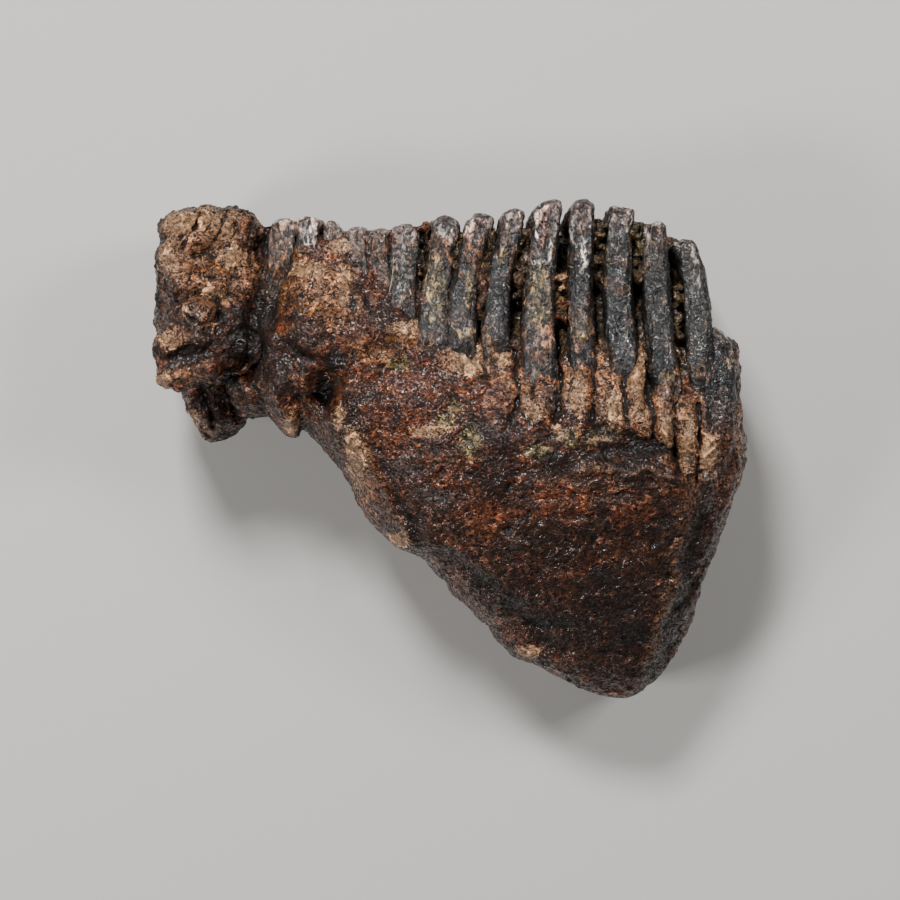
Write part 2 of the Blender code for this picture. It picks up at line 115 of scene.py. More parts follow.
# Worn rim of the base, a ledge behind the lower left edge
BASE_RIM = (
    (4, -38, -20, 20, 52), (-9, -31, -10, 18, 52), (-29.5, -16.4, 6, 18, 48), (-33, -9, 10, 18, 47),
    (-49, 7, 26, 14, 42), (-62, 19.5, 36, 12, 36),
)

# How far apart the enamel plates are, and the height that counts as their middle
PLATE_SPACING = 10.4
PLATE_MID_Y = 43.6
# Enamel plates: tip x, tip y, x at mid height, foot x, foot y, thickness, half width
PLATES = (
    (-47.8, 66.2, -48.4, -48.6, 51, 7.2, 31), (-40.3, 66.5, -40.5, -40.8, 58, 6.8, 31),
    (-33.8, 65.7, -33.6, -33.6, 52.5, 5.4, 31), (-27, 63.8, -26.8, -26.4, 44, 5.8, 31.8),
    (-20.2, 62.8, -19.9, -19.6, 39, 6.6, 32.2), (-12.9, 64.4, -13.2, -13.4, 36, 8, 33),
    (-0.9, 66.2, -3.8, -4.1, 30.5, 8.2, 32.5), (9.2, 67.7, 4.3, 3.8, 31, 7.4, 33),
    (18.7, 69.6, 14.5, 13.6, 30.5, 6.6, 33), (28.9, 71.3, 26.2, 26.1, 19, 8.2, 33),
    (38.7, 71.6, 38.3, 38.3, 26, 6.4, 32.5), (49.7, 69.3, 48.8, 51.4, 21.8, 7.4, 31.5),
    (59.6, 65.5, 60.1, 63.3, 16, 7, 30), (69, 61.2, 72, 74.3, 14.5, 6.6, 27),
)
# How each plate's tip is worn, in the same order: how far its sides drop, how far it
# slopes up to the right, how far down its near edge is worn open, its finger depth
TIP_WEAR = (
    (0.8, 0, 0.5, 0), (0.4, 0, 0.5, 0), (2, -0.8, 0.5, 0.2), (0.6, 0.3, 0.5, 0.3), (1, 0.6, 0.5, 0.4),
    (1.2, 0, 0.5, 0.6), (1.4, 0.2, 0.5, 1), (1.3, 0.4, 7, 1.4), (1.4, 0.6, 6, 1.8), (0.9, 1, 17, 2),
    (1.8, 0.4, 8, 2.2), (0.5, -0.2, 9, 2.2), (0.7, 0.6, 7, 2.4), (2, 0.5, 5, 2.4),
)
# The low last plate, which closes the hind end, and its wear
END_PLATE = (78.6, 34.6, 79.2, 79.4, 14, 9, 26.6)
END_WEAR = (3.6, -1.6, 0.5, 1.4)
# How square a plate's near edge is worn: the front plates' flat, the others' round
SQUARENESS = (0.4, 0.66)
FRONT_PLATES = 6
# Stumps of the first plates, leaning in the front lobe
STUMPS = (
    (-58.6, 67, -63.5, -64.5, 44, 6.4, 26), (-64.8, 70.2, -70, -71.5, 46, 6.4, 24),
    (-71.4, 70.5, -76, -77.5, 48, 5.6, 21), (-78.4, 68.6, -80.5, -81.5, 48, 6.2, 19),
)
PLATE_CENTRE_Z = 37
# Plate feet: share of the thickness, then of the width at the foot, below it and at the root
PROUD_FEET = (1.25, 1.06, 1.04, 0.93)
FLUSH_FEET = (1.04, 1, 0.95, 0.8)
# The front plates' feet lie above this height, and the low last plate's tip below it
PROUD_LEVEL = 35
PLATE_ROOT_DEPTH = 14
# A stump: how full its corners are, and how its tip narrows: depth, share of its size
PLATE_ROUNDNESS = (2.4, 11)
PLATE_CROWNING = ((0, 0.45), (0.7, 0.8), (2.2, 1))
BALL_RINGS = 14
BALL_SIDES = 24
FINGER_RINGS = 24

# Cement left in the gaps between the hind plates: x, y, half sizes x, y, z, z
GAP_CEMENT = (
    (44, 55, 2.6, 9, 7, 58), (54.6, 56, 2.6, 8, 8, 57), (32.4, 42, 2.6, 7, 7, 61),
    (22, 52, 2.2, 10, 7, 59), (10, 45, 2.8, 8, 7, 60), (-8.4, 51, 2.6, 12, 6, 62),
    (1.6, 50, 2, 11, 6, 61), (11.6, 55, 1.8, 7, 6, 60), (66, 40, 2.2, 8, 6, 56),
    (44, 54, 2.6, 8, 9, 15), (22, 50, 2.4, 9, 9, 14), (55.5, 48, 2.6, 9, 8, 16),
)
CRUMBS_PER_MM = 14
CRUMB_RADII = (0.6, 2.2)
# Lumps of the front lobe: x, y, z, radius
LOBE_LUMPS = (
    (-78.4, 62.6, 57, 6.2), (-71.2, 65.4, 56, 4.6), (-63.9, 64, 57, 6), (-57.4, 61.6, 58, 4.6),
    (-79.8, 55.4, 60, 6), (-73.2, 56, 63, 6.6), (-64.5, 54.4, 63, 6.2), (-76.5, 46.6, 65.5, 6.2),
    (-68, 46.2, 66, 6.6), (-60.4, 45.6, 65, 5.4), (-71.2, 38, 68.2, 5.8), (-63.3, 37, 66.5, 6.2),
    (-78.6, 29, 65, 6.6), (-73.5, 29.5, 67.2, 6.4), (-79, 22.6, 64, 5.4), (-62.2, 28.4, 64.5, 8.2),
    (-70, 24.6, 66, 6.2), (-76, 57, 12, 8), (-66, 50, 9, 8.5), (-77, 39, 8.5, 8.5), (-66, 31, 8.5, 8),
)
# Cement fingers below the hind plates: top x, top y, bottom x, bottom y, radius, z
CEMENT_FINGERS = (
    (5.2, 31.5, 4.6, 19, 3.8, 70.2), (15.4, 31, 15.9, 20.5, 2.7, 70.4),
    (27.5, 20.5, 28.4, 7.5, 3.4, 70.4), (36.8, 30.5, 37.1, 6.5, 3.3, 70.6),
    (47.8, 20.5, 47.8, 5.8, 3.4, 70.8), (56.3, 28.5, 54.2, 9, 2.9, 72.6),
    (61.4, 15, 61.4, 5.5, 3, 70.6), (63.2, 10.5, 63.2, -4.5, 2.6, 72), (69, 13.5, 69.4, -9, 3.2, 69.4),
    (75.4, 5.5, 74.8, -11, 3, 67),
)
# Hollows and bosses of the upper face: x, y, half length x, half length y, depth
HOLLOWS = (
    (-36, 15.5, 4.6, 6.8, 7.5), (-60, 22.5, 3.6, 4.6, 8), (-67, 13, 6, 6, 3), (56.5, -1, 13, 3.8, 3.8),
    (-46, 25.5, 5, 2.6, 1.8), (-37, 45.5, 9.5, 8.6, -4.4), (-44.5, 32.5, 6.5, 5, -2.2),
    (-8, 16, 16, 11, -1.4), (-51, 44, 3.6, 8, 1), (-18.9, 34.2, 11.6, 4.6, -1.4),
    (-47.9, 19.3, 4.1, 5.2, -1.6),
)
# Clods and pits of the front lobe, in the same way
LOBE_CLODS = (
    (-83.9, 47.7, 2.3, 6.4, 2.4), (-70.9, 40.2, 3.8, 3.8, -1.4), (-76.1, 39.3, 1.7, 2.6, -1.4),
    (-61.6, 30.6, 4.3, 4.6, 3), (-65, 21.3, 1.4, 2.3, 3), (-72.9, 59.6, 2.9, 2.3, -1.2),
    (-72.9, 55.6, 2, 1.2, 1.8), (-71.1, 51.2, 4.1, 1.7, -0.9), (-64.5, 46, 2.6, 1.7, -0.9),
)
# Creases: depth, half width, share of it off the upper face, and points x, y
CREASES = (
    (2, 2.4, 0.8, ((-53.4, 72), (-54.2, 52), (-56, 36), (-57.5, 24))),
)
# Grooves and ridges of the front lobe: depth, half width, points x, y
LOBE_MARKS = (
    (-1.2, 4, ((-77, 68.4), (-80.7, 61.4), (-81.9, 54.1))),
    (1.3, 0.7, ((-72.9, 68.4), (-74.6, 62.8), (-76.7, 57))),
    (1.2, 0.6, ((-68.8, 70.1), (-70.9, 63.7), (-72.9, 59.9))),
    (1.2, 0.6, ((-64.8, 70.1), (-66.8, 62.8), (-68.8, 58.5))),
    (1.8, 0.7, ((-60.7, 69.2), (-62.1, 62.8), (-64.5, 57))),
    (1.3, 0.6, ((-57.8, 66.6), (-58.4, 59.9), (-60.1, 55))),
    (0.9, 0.7, ((-73.4, 54.6), (-70, 55.6), (-66.2, 53.2))), (0.6, 0.6, ((-70.6, 49), (-67, 47.6))),
    (1.1, 0.7, ((-75.5, 43.1), (-71.4, 44.8), (-67.1, 43.1), (-65.9, 39.6), (-67.7, 36.4))),
    (1, 0.7, ((-67.7, 36.4), (-71.7, 35.2), (-74.3, 36.4))),
    (0.9, 1, ((-82.2, 36.6), (-78.4, 34.7), (-74.5, 34.5))),
    (-0.8, 2.4, ((-82.2, 30.3), (-78.4, 30.9), (-73.1, 31.2))),
    (1, 3, ((-77, 25.4), (-71.1, 26.8), (-67.7, 28.9))),
    (1.8, 1, ((-73.2, 17.2), (-71.4, 12), (-69.7, 5.6))),
    (-1.4, 1.6, ((-76.7, 14.9), (-74.1, 7.7), (-70.6, 2.7))),
)
# Grooves and ridges of the body, in the same way
BODY_MARKS = (
    (-1, 1.2, ((-29.9, 47), (-25.4, 41.5), (-23.8, 30))),
    (1.4, 1.2, ((-47.6, 30.9), (-43.6, 27.4), (-38.3, 24.8))),
    (-1.8, 1.8, ((-54.6, 18.4), (-49.4, 11.7), (-44.4, 3.9))),
    (1.2, 1, ((-56.3, 17.2), (-51.7, 10.6), (-47.6, 5))),
    (-1.2, 1.6, ((-42.1, 20.7), (-42.4, 13.5), (-43.6, 6.2))),
    (1, 1.6, ((-21.2, 1.6), (-14.2, -16.2), (-7.8, -29.5))),
    (1.3, 2.2, ((-4.4, -31.5), (11.6, -40.3), (23.2, -50.4), (33.4, -61.7))),
    (-0.9, 2, ((-24.4, -0.2), (-16.8, -17.6), (-10.5, -30.4))),
    (1.6, 3.4, ((63.4, -66.4), (70.4, -40.3), (73.4, -19.9), (75, -5.4))),
    (-0.6, 3.2, ((58.5, -64.9), (65.4, -42.3), (67.9, -22.9), (70.6, -9.4))),
    (1.8, 2, ((43, 4.5), (52.3, 3.3), (61, -0.2), (69.7, -4.2))),
    (-0.8, 1.6, ((36.8, -7.6), (43.6, -6), (50.2, -8.2), (58, -7), (66, -9.2))),
    (1.2, 0.8, ((-7.3, 62), (-7, 44), (-5.8, 33.8))),
)
# Slots that carry the gaps between the hind plates down into the cement
SLOTS = (
    (1.6, 0.9, ((10.4, 30), (10.2, 24), (10.9, 19.5))), (2.2, 0.9, ((19.2, 27), (19.9, 16), (19.3, 9))),
    (2.6, 1.1, ((31.4, 32), (31.9, 19), (31, 6.5))), (2.2, 0.8, ((41.9, 26), (42.3, 14), (41.4, 7.8))),
    (2.4, 1, ((51.4, 24), (50.6, 15), (51.4, 6.5))), (2.8, 1, ((59, 21), (58.4, 12), (59.4, 2))),
    (2.6, 1, ((66.6, 24), (65.6, 8), (66.2, -8))), (2.2, 0.9, ((72.6, 12), (73.1, 2), (72, -11))),
    (1.2, 0.8, ((24, 28), (24.9, 20), (24.4, 14))), (1.2, 0.7, ((36.6, 24), (35, 16), (34.4, 12))),
)
# Pits: x, y, half length x, half length y, depth
PITS = (
    (17.6, -12, 1, 1.2, 1.8), (17.4, -24.5, 1.5, 1.3, 1.4), (66.6, -26.5, 1.2, 1, 1.6),
    (59.6, -29, 1.4, 1.2, 1.6), (64.6, -38, 1.2, 1.2, 1.6), (18, 6.5, 2, 2, 1.4),
    (55, -57, 5, 2.4, 1.2), (-66, 37, 1.4, 2.2, 1.6), (-71, 56.5, 2, 1.2, 1.2),
    (30.5, 2.6, 1.4, 1.2, 1.4),
)
# Dry rootlets: two long ones by their points x, y, and many short ones in a box of the face
LONG_ROOTLETS = (
    ((-15.9, 54.6), (-16.3, 48.6), (-17.4, 43.6)), ((7.8, 43.6), (9.2, 38), (10.8, 32)),
)
SHORT_ROOTLETS = 80
ROOTLET_FIELD = ((-82, 4), (76, 60))
ROOTLET_LENGTHS = (1.2, 4)
ROOTLET_RADII = (0.06, 0.11)
LONG_RADIUS = 0.17
ROOTLET_SIDES = 6
ROOTLET_STEP = 0.12
# Heights are felt from here down; a rootlet stays only where it lies high and not over a drop
FELT_FROM = 95
ROOTLET_LOWEST = 50
ROOTLET_STEEPEST = 2.5
# Feet: worn high spots of the under side, planed flat where they bear: x, y, spread, drop
FEET = ((-71, 42, 12, 1.6), (66, 22, 13, 4.6), (45, -57, 10, 1.4))

# Weathering: how far each kind of relief stands out, and how far apart it repeats
SWAY_SIZE = 24
SWAY = (1.3, 1.5, 1.6)
SWAY_OFFSETS = (0, 211, 433)
RIDGE_HEIGHT = 2.2
LEDGE_HEIGHT = 0.14
LEDGE_SPACING = 6.5
LUMP_HEIGHT = 2
LUMP_SIZE = 12
FLUTE_HEIGHT = 0.5
FLUTE_SPACING = 9
BASE_HEIGHT = 0.2
BASE_SPACING = 14
ROUGH_HEIGHT = 0.8
ROUGH_SIZE = 8
LINE_HEIGHT = 0.15
LINE_SPACING = 2.4
RING_HEIGHT = 0.13
RING_SPACING = 1.5
WRINKLE_HEIGHT = 0.9
CHIP_DEPTH = 0.6
# The value of lump noise that neither raises nor sinks the skin
LEVEL_LUMP = 0.4
# Where the gaps between the hind plates end: at this cement line x, y, and between these z
CEMENT_LINE = ((-6, 14, 22, 80), (33, 33, 24, 18))
GAP_DEPTHS = (5, 71.5)
# A stain fades out over this share of its half lengths, from its rim to its middle
STAIN_EDGE = (1.5, 0.1)

# Stains of the cement on the side that shows, with patches of painted shade among them: x, y, half
# length x, half length y
STAINS = {
    "rust": (
        (8, 9.5, 2.8, 1.8), (-9, 6, 9, 6), (30, -14, 8, 5), (54, -20, 9, 5), (38, -34, 8, 5),
        (-16, 18, 9, 7), (10, -20, 9, 6), (-14, -6, 6, 6), (39, 15.5, 3, 8), (-21, 8, 6, 8),
        (-34, 54, 4, 3.5), (-62, 33, 5, 6), (-70, 50, 6, 3), (-48, 28, 7, 4), (0, -12, 5, 4),
    ),
    # painted shade: near-black brown over the lower body and the tip, the sides that face away, and the
    # hollows and grooves
    "painted_shade": (
        (45, -50, 22, 20), (49, -66, 16, 9), (60, -34, 15, 18), (16, -42, 14, 10), (40, -5, 24, 5),
        (30, -30, 18, 12), (-45, 29, 9, 4), (-60, 30, 8, 12), (-70, 12, 9, 9), (-75, 28, 10, 5),
        (-52, 26, 6, 8), (81, 14, 5, 12), (76, -26, 5, 16),
    ),
    "ochre": (
        (-44.5, 49.5, 3, 2.4), (-40, 51, 8, 2.6), (-47, 44, 2.4, 8), (-68, 51, 6, 4), (-22, 27, 9, 5),
        (-39, 41, 8, 5), (-33, 37, 8, 6), (-70, 57, 5, 3), (-44, 56, 3, 2.5), (-12, 31, 7, 4),
        (27, 12, 3, 6),
    ),
    "olive": (
        (5.6, 1.5, 3.4, 7), (2, 12, 2.4, 3), (44, 2.5, 5, 2.4), (35, 2, 3, 3.4), (26, -2, 4, 2.6),
        (-1, 7, 4, 3), (-14, 24, 5, 3), (55.6, 60, 2.6, 7), (45, 57, 2, 6), (33, 46, 2, 5),
    ),
    "buff": (
        (-70, 63, 15, 7), (-76, 52, 9, 8), (-62, 50, 8, 8), (-42, 50.5, 10, 4.5), (-30, 47, 3, 8),
        (-80, 32, 5, 3.5), (47.6, 12, 4, 8), (68, 0, 9, 9), (6, 25, 12, 5), (24, 14, 4, 7),
        (56, 18, 3, 10), (86, 4, 2.4, 12), (-46, 8, 4, 6), (-25, -10, 4, 18), (-74, 8, 4, 6),
        (40, 17, 30, 9), (75, -6, 4.6, 12), (43, 24, 3, 6), (60, 10, 20, 8), (-68, 46, 13, 7),
        (-72, 38, 7, 5), (-36, 46, 10, 7), (-76, 20, 9, 3),
    ),
    "pale_crust": (
        (5.8, 24.5, 6.4, 5.4), (16, 26, 3, 3.8), (-8, 33.5, 9, 2.6), (-31, 58, 5, 3), (36.8, 14, 3, 8),
        (55.4, 18, 4.4, 14), (63.3, 3.5, 2.6, 6), (69.4, 0.5, 3, 10), (75.2, -2.5, 2.8, 7),
        (47.8, 11.5, 3.6, 6), (24, 10, 2.4, 4), (-77, 64, 8, 5), (-81, 54, 4, 5), (-80, 30.5, 4.2, 3),
        (-83.5, 19, 3, 3), (-64, 62, 3, 5), (-76.5, 7, 2.6, 5), (-45.5, 6, 3.5, 4), (-27, -5, 3.6, 10),
        (-14.5, -27.5, 3.2, 3), (23.5, -61, 4, 2.6), (-70, 66.5, 9, 3.6), (-76.3, 38.6, 1.6, 2.6),
        (-31, 8, 2, 4), (-6, 4.5, 6, 2), (31, 4, 2.2, 3), (43.6, 1.6, 3.6, 1.2), (-28, -2, 2.6, 9),
        (32.8, 48.5, 2.4, 3.6), (-42, 50.6, 8, 2.6), (-30.5, 46, 2.2, 7), (-68, 44, 4, 2),
        (-62, 54, 4, 4),
    ),
    "grey": (
        (29, 14, 3.6, 8), (63, 14, 3.4, 5), (81, 18, 6, 14), (-14, -6, 9, 5), (-4, -14, 10, 4),
        (76, 10, 4, 8), (24, 11, 3, 5), (68, -48, 3, 10), (76, -12, 3, 9), (-73.5, 37, 4.5, 5),
        (18, -46, 7, 3),
    ),
    # near-black patches: painted shade in the pits, the hollows and the crease, and black stain on the
    # rest
    "shade_and_black": (
        (57.5, -1, 10, 3.4), (81, 31, 7, 5), (-36, 16.5, 4.5, 6.5), (-63.5, 19, 4, 5),
        (-86, 44, 3.2, 9), (-54.5, 34, 2.2, 15), (55, -56, 9, 6), (18.2, 6.5, 2.2, 2.4),
        (17.6, -12, 1.4, 1.8), (17.4, -24.5, 2, 1.8), (66.6, -26.5, 1.6, 1.4), (59.6, -29, 1.8, 1.6),
        (64.6, -38, 1.6, 1.6), (-60, 31, 5, 6), (30, -52, 12, 3), (-51, 40, 3, 9), (-66, 38, 3, 4),
        (44, -38, 5, 2), (30, -3, 4, 2), (-32, 24, 5, 4),
    ),
}
# Stains of the enamel plates' near edges, in the same way
ENAMEL_STAINS = {
    "umber": (
        (26.5, 34, 4.2, 12), (38.4, 33, 4, 7), (72.6, 54, 3, 6), (8, 56, 3.8, 9), (-2.5, 57, 3.4, 6),
        (-20, 56, 3.8, 9), (-34, 54, 3, 10), (-49, 56, 3.6, 12), (19, 52, 1.8, 7), (70, 58, 3, 3),
        (62, 60, 4, 4), (22.8, 56, 1.6, 8), (-26, 56, 3, 8),
    ),
    "khaki": (
        (25.8, 49.4, 3.8, 4.6), (15.6, 55, 2, 3), (38.6, 33.5, 3.4, 5), (63.4, 19.5, 3.6, 3.4),
        (54.6, 60, 2.6, 5), (4.6, 32.5, 3, 2), (26, 41, 4.4, 9), (44.6, 56, 2, 6), (-4, 45, 3.8, 13),
        (81, 25, 2.6, 2), (58, 57, 2, 3), (6, 45, 2, 8),
    ),
    "pale_streak": (
        (22.9, 60, 0.8, 7), (25.6, 53.4, 3.4, 0.9), (28.6, 57, 0.8, 5), (39, 55, 0.9, 7),
        (45.9, 63, 0.9, 5.4), (47.2, 61, 0.7, 4), (57.4, 60, 0.6, 3), (71.9, 49.5, 1.2, 9),
        (71.6, 58, 1, 3), (36.2, 62, 0.7, 5), (-13.4, 52, 0.7, 9), (-40.2, 60, 2.4, 5),
        (8.4, 62, 0.6, 3.4), (18, 64, 0.7, 4), (-1.6, 62.5, 2.6, 2), (60.4, 63, 1.6, 2.4),
    ),
    "black": (
        (48, 34, 4.4, 12), (59.5, 34, 4.4, 13), (16, 42, 3.4, 8), (36.6, 44, 2, 8), (68, 45, 2.6, 9),
        (24, 60, 1.6, 3), (34, 60, 1.8, 7), (60.4, 19, 2.4, 2.6), (50.6, 59, 1.8, 5), (14, 40, 2.6, 7),
        (2.6, 42, 1.6, 9), (-1, 64, 3, 2.6), (53, 45, 1.2, 12), (66.4, 56, 1.4, 6), (79, 29, 6, 6),
        (80, 18, 6, 5), (-43.6, 58, 1, 9), (-23.6, 52, 1, 10), (-9, 52, 1.2, 10), (-16.8, 54, 1, 9),
        (-30.2, 55, 0.9, 9), (-37.4, 62, 0.9, 4),
    ),
}

NOISE_CELLS = 256
# Gradient noise reaches about 1 after this gain; layers of it lie this far apart
NOISE_GAIN = 1.7
LAYER_OFFSET = 37
# A flake's edge: from this share of the way to the next level to that one
FLAKE_EDGE = (0.35, 0.65)
rng = np.random.default_rng(11)
SHUFFLE = np.tile(rng.permutation(NOISE_CELLS), 2)
SLOPES = rng.normal(size=(NOISE_CELLS, 3))
SLOPES /= np.linalg.norm(SLOPES, axis=1, keepdims=True)
LATTICE_POINTS = rng.random((NOISE_CELLS, 3))


def lattice_index(cell):
    """The shuffled table index of each whole-numbered cell."""
    x, y, z = (cell % NOISE_CELLS).T
    return SHUFFLE[SHUFFLE[SHUFFLE[x] + y] + z]


def smooth_noise(points, size):
    """Gradient noise, about -1 to 1, whose bumps are size millimetres across."""
    scaled = points / size
    cell = np.floor(scaled).astype(int)
    inside = scaled - cell
    ease = inside**3 * (inside * (inside * 6 - 15) + 10)
    total = np.zeros(len(points))
    for corner in product((0, 1), repeat=3):
        slope = SLOPES[lattice_index(cell + corner)]
        weight = np.prod(np.where(corner, ease, 1 - ease), axis=1)
        total += weight * ((inside - corner) * slope).sum(axis=1)
    return total * NOISE_GAIN


def layered_noise(points, size, layers):
    """Layers of smooth noise, each half as wide and half as strong as the last."""
    total = sum(
        smooth_noise(points + LAYER_OFFSET * k, size / 2**k) / 2**k for k in range(layers)
    )
    return total / (2 - 0.5 ** (layers - 1))


def lump_noise(points, size):
    """Rounded lumps side by side, 1 at a lump's middle and 0 in the creases."""
    scaled = points / size
    cell = np.floor(scaled).astype(int)
    nearest = np.full(len(points), np.inf)
    for step in product((-1, 0, 1), repeat=3):
        neighbour = cell + step
        middle = neighbour + LATTICE_POINTS[lattice_index(neighbour)]
        nearest = np.minimum(nearest, np.linalg.norm(scaled - middle, axis=1))
    return np.clip(1 - nearest, 0, 1)


def fade(value, start, end):
    """0 at start, 1 at end, smooth between them; start may be above end."""
    share = np.clip((value - start) / (end - start), 0, 1)
    return share * share * (3 - 2 * share)


def flakes(points, size, levels):
    """Broken layers: level plateaus of noise with short steep edges between them."""
    height = layered_noise(points, size, 3) * levels
    floor = np.floor(height)
    return (floor + fade(height - floor, *FLAKE_EDGE)) / levels


def smooth_table(rows, step):
    """Rows ordered by their first column, filled in along a smooth curve."""
    table = np.array(rows, float)
    along = np.abs(np.diff(table[:, 0]))
    grades = np.diff(table, axis=0) / along[:, None]
    tangents = np.vstack([grades[:1], (grades[1:] + grades[:-1]) / 2, grades[-1:]])
    filled = []
    for k, length in enumerate(along):
        for t in np.arange(0, length, step) / length:
            start = (2 * t**3 - 3 * t**2 + 1) * table[k] + (t**3 - 2 * t**2 + t) * length * tangents[k]
            end = (3 * t**2 - 2 * t**3) * table[k + 1] + (t**3 - t**2) * length * tangents[k + 1]
            filled.append(start + end)
    return np.array([*filled, table[-1]])


def rounded_section(centre, half_x, half_z, round_x, round_z):
    """A level ring: an oval whose corners are fuller as the powers rise."""
    angle = np.linspace(0, 2 * np.pi, RING_POINTS, endpoint=False)
    c, s = np.cos(angle), np.sin(angle)
    x = half_x * np.sign(c) * np.abs(c) ** (2 / round_x)
    z = half_z * np.sign(s) * np.abs(s) ** (2 / round_z)
    return np.stack([centre[0] + x, np.full(RING_POINTS, centre[1]), centre[2] + z], axis=1)


def loft(rings):
    """Points and faces of a skin over the rings, top to bottom, closed at both ends."""
    points = np.concatenate(rings)
    count = len(rings[0])
    k = np.arange(count)
    following = (k + 1) % count
    faces = [tuple(k[::-1])]
    for row in range(len(rings) - 1):
        upper, lower = row * count, (row + 1) * count
        band = [upper + k, upper + following, lower + following, lower + k]
        faces += np.stack(band, axis=1).tolist()
    faces.append(tuple(len(points) - count + k))
    return points, faces


def body(rows, roundness):
    """Lofts a part of the body from its rows of height, left, right, back and front."""
    rings = []
    for y, left, right, back, front in smooth_table(rows, LOFT_STEP):
        centre = ((left + right) / 2, y, (back + front) / 2)
        half_x, half_z = (right - left) / 2, (front - back) / 2
        rings.append(rounded_section(centre, half_x, half_z, roundness, roundness))
    return loft(rings)


def plate_path(plate):
    """A plate's middle line: rows of height, x, and shares of its thickness and width."""
    tip_x, tip_y, mid_x, foot_x, foot_y, _, _ = plate
    path = [(tip_y, tip_x, 1, 0.97)]
    if foot_y < PLATE_MID_Y < tip_y:
        path.append((PLATE_MID_Y, mid_x, 1.08, 1))
    flare, *widths = PROUD_FEET if foot_y < PROUD_LEVEL < tip_y else FLUSH_FEET
    for depth, width in zip((0, 3, PLATE_ROOT_DEPTH), widths):
        path.append((foot_y - depth, foot_x, flare, width))
    return path


def stump(plate):
    """Lofts a plate's stump: a thin tongue with rounded edges and a worn tip."""
    thickness, half_width = plate[5:]
    depths, shares = zip(*PLATE_CROWNING)
    rings = []
    for y, x, thicker, wider in smooth_table(plate_path(plate), LOFT_STEP):
        crowned = np.interp(plate[1] - y, depths, shares)
        half_x = thickness / 2 * thicker * crowned
        half_z = half_width * wider * (0.88 + 0.12 * crowned)
        rings.append(rounded_section((x, y, PLATE_CENTRE_Z), half_x, half_z, *PLATE_ROUNDNESS))
    return loft(rings)


def ball(centre, radii):
    """An oval lump."""
    around = np.linspace(0, 2 * np.pi, BALL_SIDES, endpoint=False)
    rings = []
    for turn in np.linspace(0, np.pi, BALL_RINGS):
        width = max(np.sin(turn), 0.02)
        level = np.full(BALL_SIDES, np.cos(turn))
        ring = np.stack([np.cos(around) * width, level, np.sin(around) * width], axis=1)
        rings.append(np.array(centre) + ring * radii)
    return loft(rings)


def finger(top_x, top_y, bottom_x, bottom_y, radius, z):
    """A finger of cement with a pointed top and a rounded foot."""
    rings = []
    for t in np.linspace(0, 1, FINGER_RINGS):
        swell = np.clip(t / 0.45, 0.05, 1) ** 0.8 * np.sqrt(np.clip((1.02 - t) / 0.1, 0.05, 1))
        centre = (top_x + (bottom_x - top_x) * t, top_y + (bottom_y - top_y) * t, z - radius * 0.7)
        rings.append(rounded_section(centre, radius * swell, radius * swell * 0.9, 2.2, 2.2))
    return loft(rings)


def crumbs(x, y, half_x, half_y, half_z, z):
    """A clot of cement crumbs in the gap between two plates."""
    clot = []
    for _ in range(int(half_y * CRUMBS_PER_MM)):
        offset = rng.uniform(-1, 1, 3) * (half_x, half_y, half_z)
        radii = rng.uniform(*CRUMB_RADII, 3)
        clot.append(ball(np.array((x, y, z)) + offset, radii))
    return clot


def joined_mesh(name, forms):
    """One mesh of several forms, with every face turned outwards."""
    starts = np.cumsum([0] + [len(points) for points, _ in forms])
    faces = []
    for start, (_, form_faces) in zip(starts.tolist(), forms):
        faces += [tuple(start + k for k in face) for face in form_faces]
    mesh = bpy.data.meshes.new(name)
    mesh.from_pydata(np.concatenate([points for points, _ in forms]).tolist(), [], faces)
    bm = bmesh.new()
    bm.from_mesh(mesh)
    bmesh.ops.recalc_face_normals(bm, faces=bm.faces)
    bm.to_mesh(mesh)
    bm.free()
    return mesh


def modified(mesh, kind, **settings):
    """The mesh after one modifier, in the place of the mesh itself."""
    obj = bpy.data.objects.new("form", mesh)
    bpy.context.collection.objects.link(obj)
    modifier = obj.modifiers.new("change", kind)
    for name, value in settings.items():
        setattr(modifier, name, value)
    bpy.context.view_layer.update()
    graph = bpy.context.evaluated_depsgraph_get()
    changed = bpy.data.meshes.new_from_object(
        obj.evaluated_get(graph), preserve_all_data_layers=True, depsgraph=graph
    )
    bpy.data.objects.remove(obj)
    bpy.data.meshes.remove(mesh)
    return changed


def fused(forms, voxel):
    """One closed skin round all the overlapping forms."""
    return modified(joined_mesh("forms", forms), "REMESH", mode="VOXEL", voxel_size=voxel)


def thinned(mesh, triangles):
    """The mesh with no more than that many triangles, finest where its form is."""
    mesh.calc_loop_triangles()
    share = triangles / len(mesh.loop_triangles)
    if share >= 1:
        return mesh
    return modified(mesh, "DECIMATE", ratio=share, use_collapse_triangulate=True)


def read_points(mesh):
    """The mesh's points and normals as arrays."""
    read = []
    for kind in ("co", "normal"):
        flat = np.empty(len(mesh.vertices) * 3, np.float32)
        mesh.vertices.foreach_get(kind, flat)
        read.append(flat.reshape(-1, 3).astype(float))
    return read


def write_points(mesh, points):
    """Moves the mesh's points."""
    mesh.vertices.foreach_set("co", points.astype(np.float32).ravel())
    mesh.update()


def line_distance(points, line):
    """How far each point is from a line of straight runs, seen along z."""
    nearest = np.full(len(points), np.inf)
    for start, end in zip(np.array(line), np.array(line[1:])):
        run = end - start
        offset = points[:, :2] - start
        share = np.clip((offset @ run) / (run @ run), 0, 1)
        nearest = np.minimum(nearest, np.linalg.norm(offset - share[:, None] * run, axis=1))
    return nearest


def sway(points):
    """A slow sideways drift, so that no plate or edge stays ruled."""
    drift = [layered_noise(points + offset, SWAY_SIZE, 2) for offset in SWAY_OFFSETS]
    return np.stack(drift, axis=1) * np.array(SWAY)


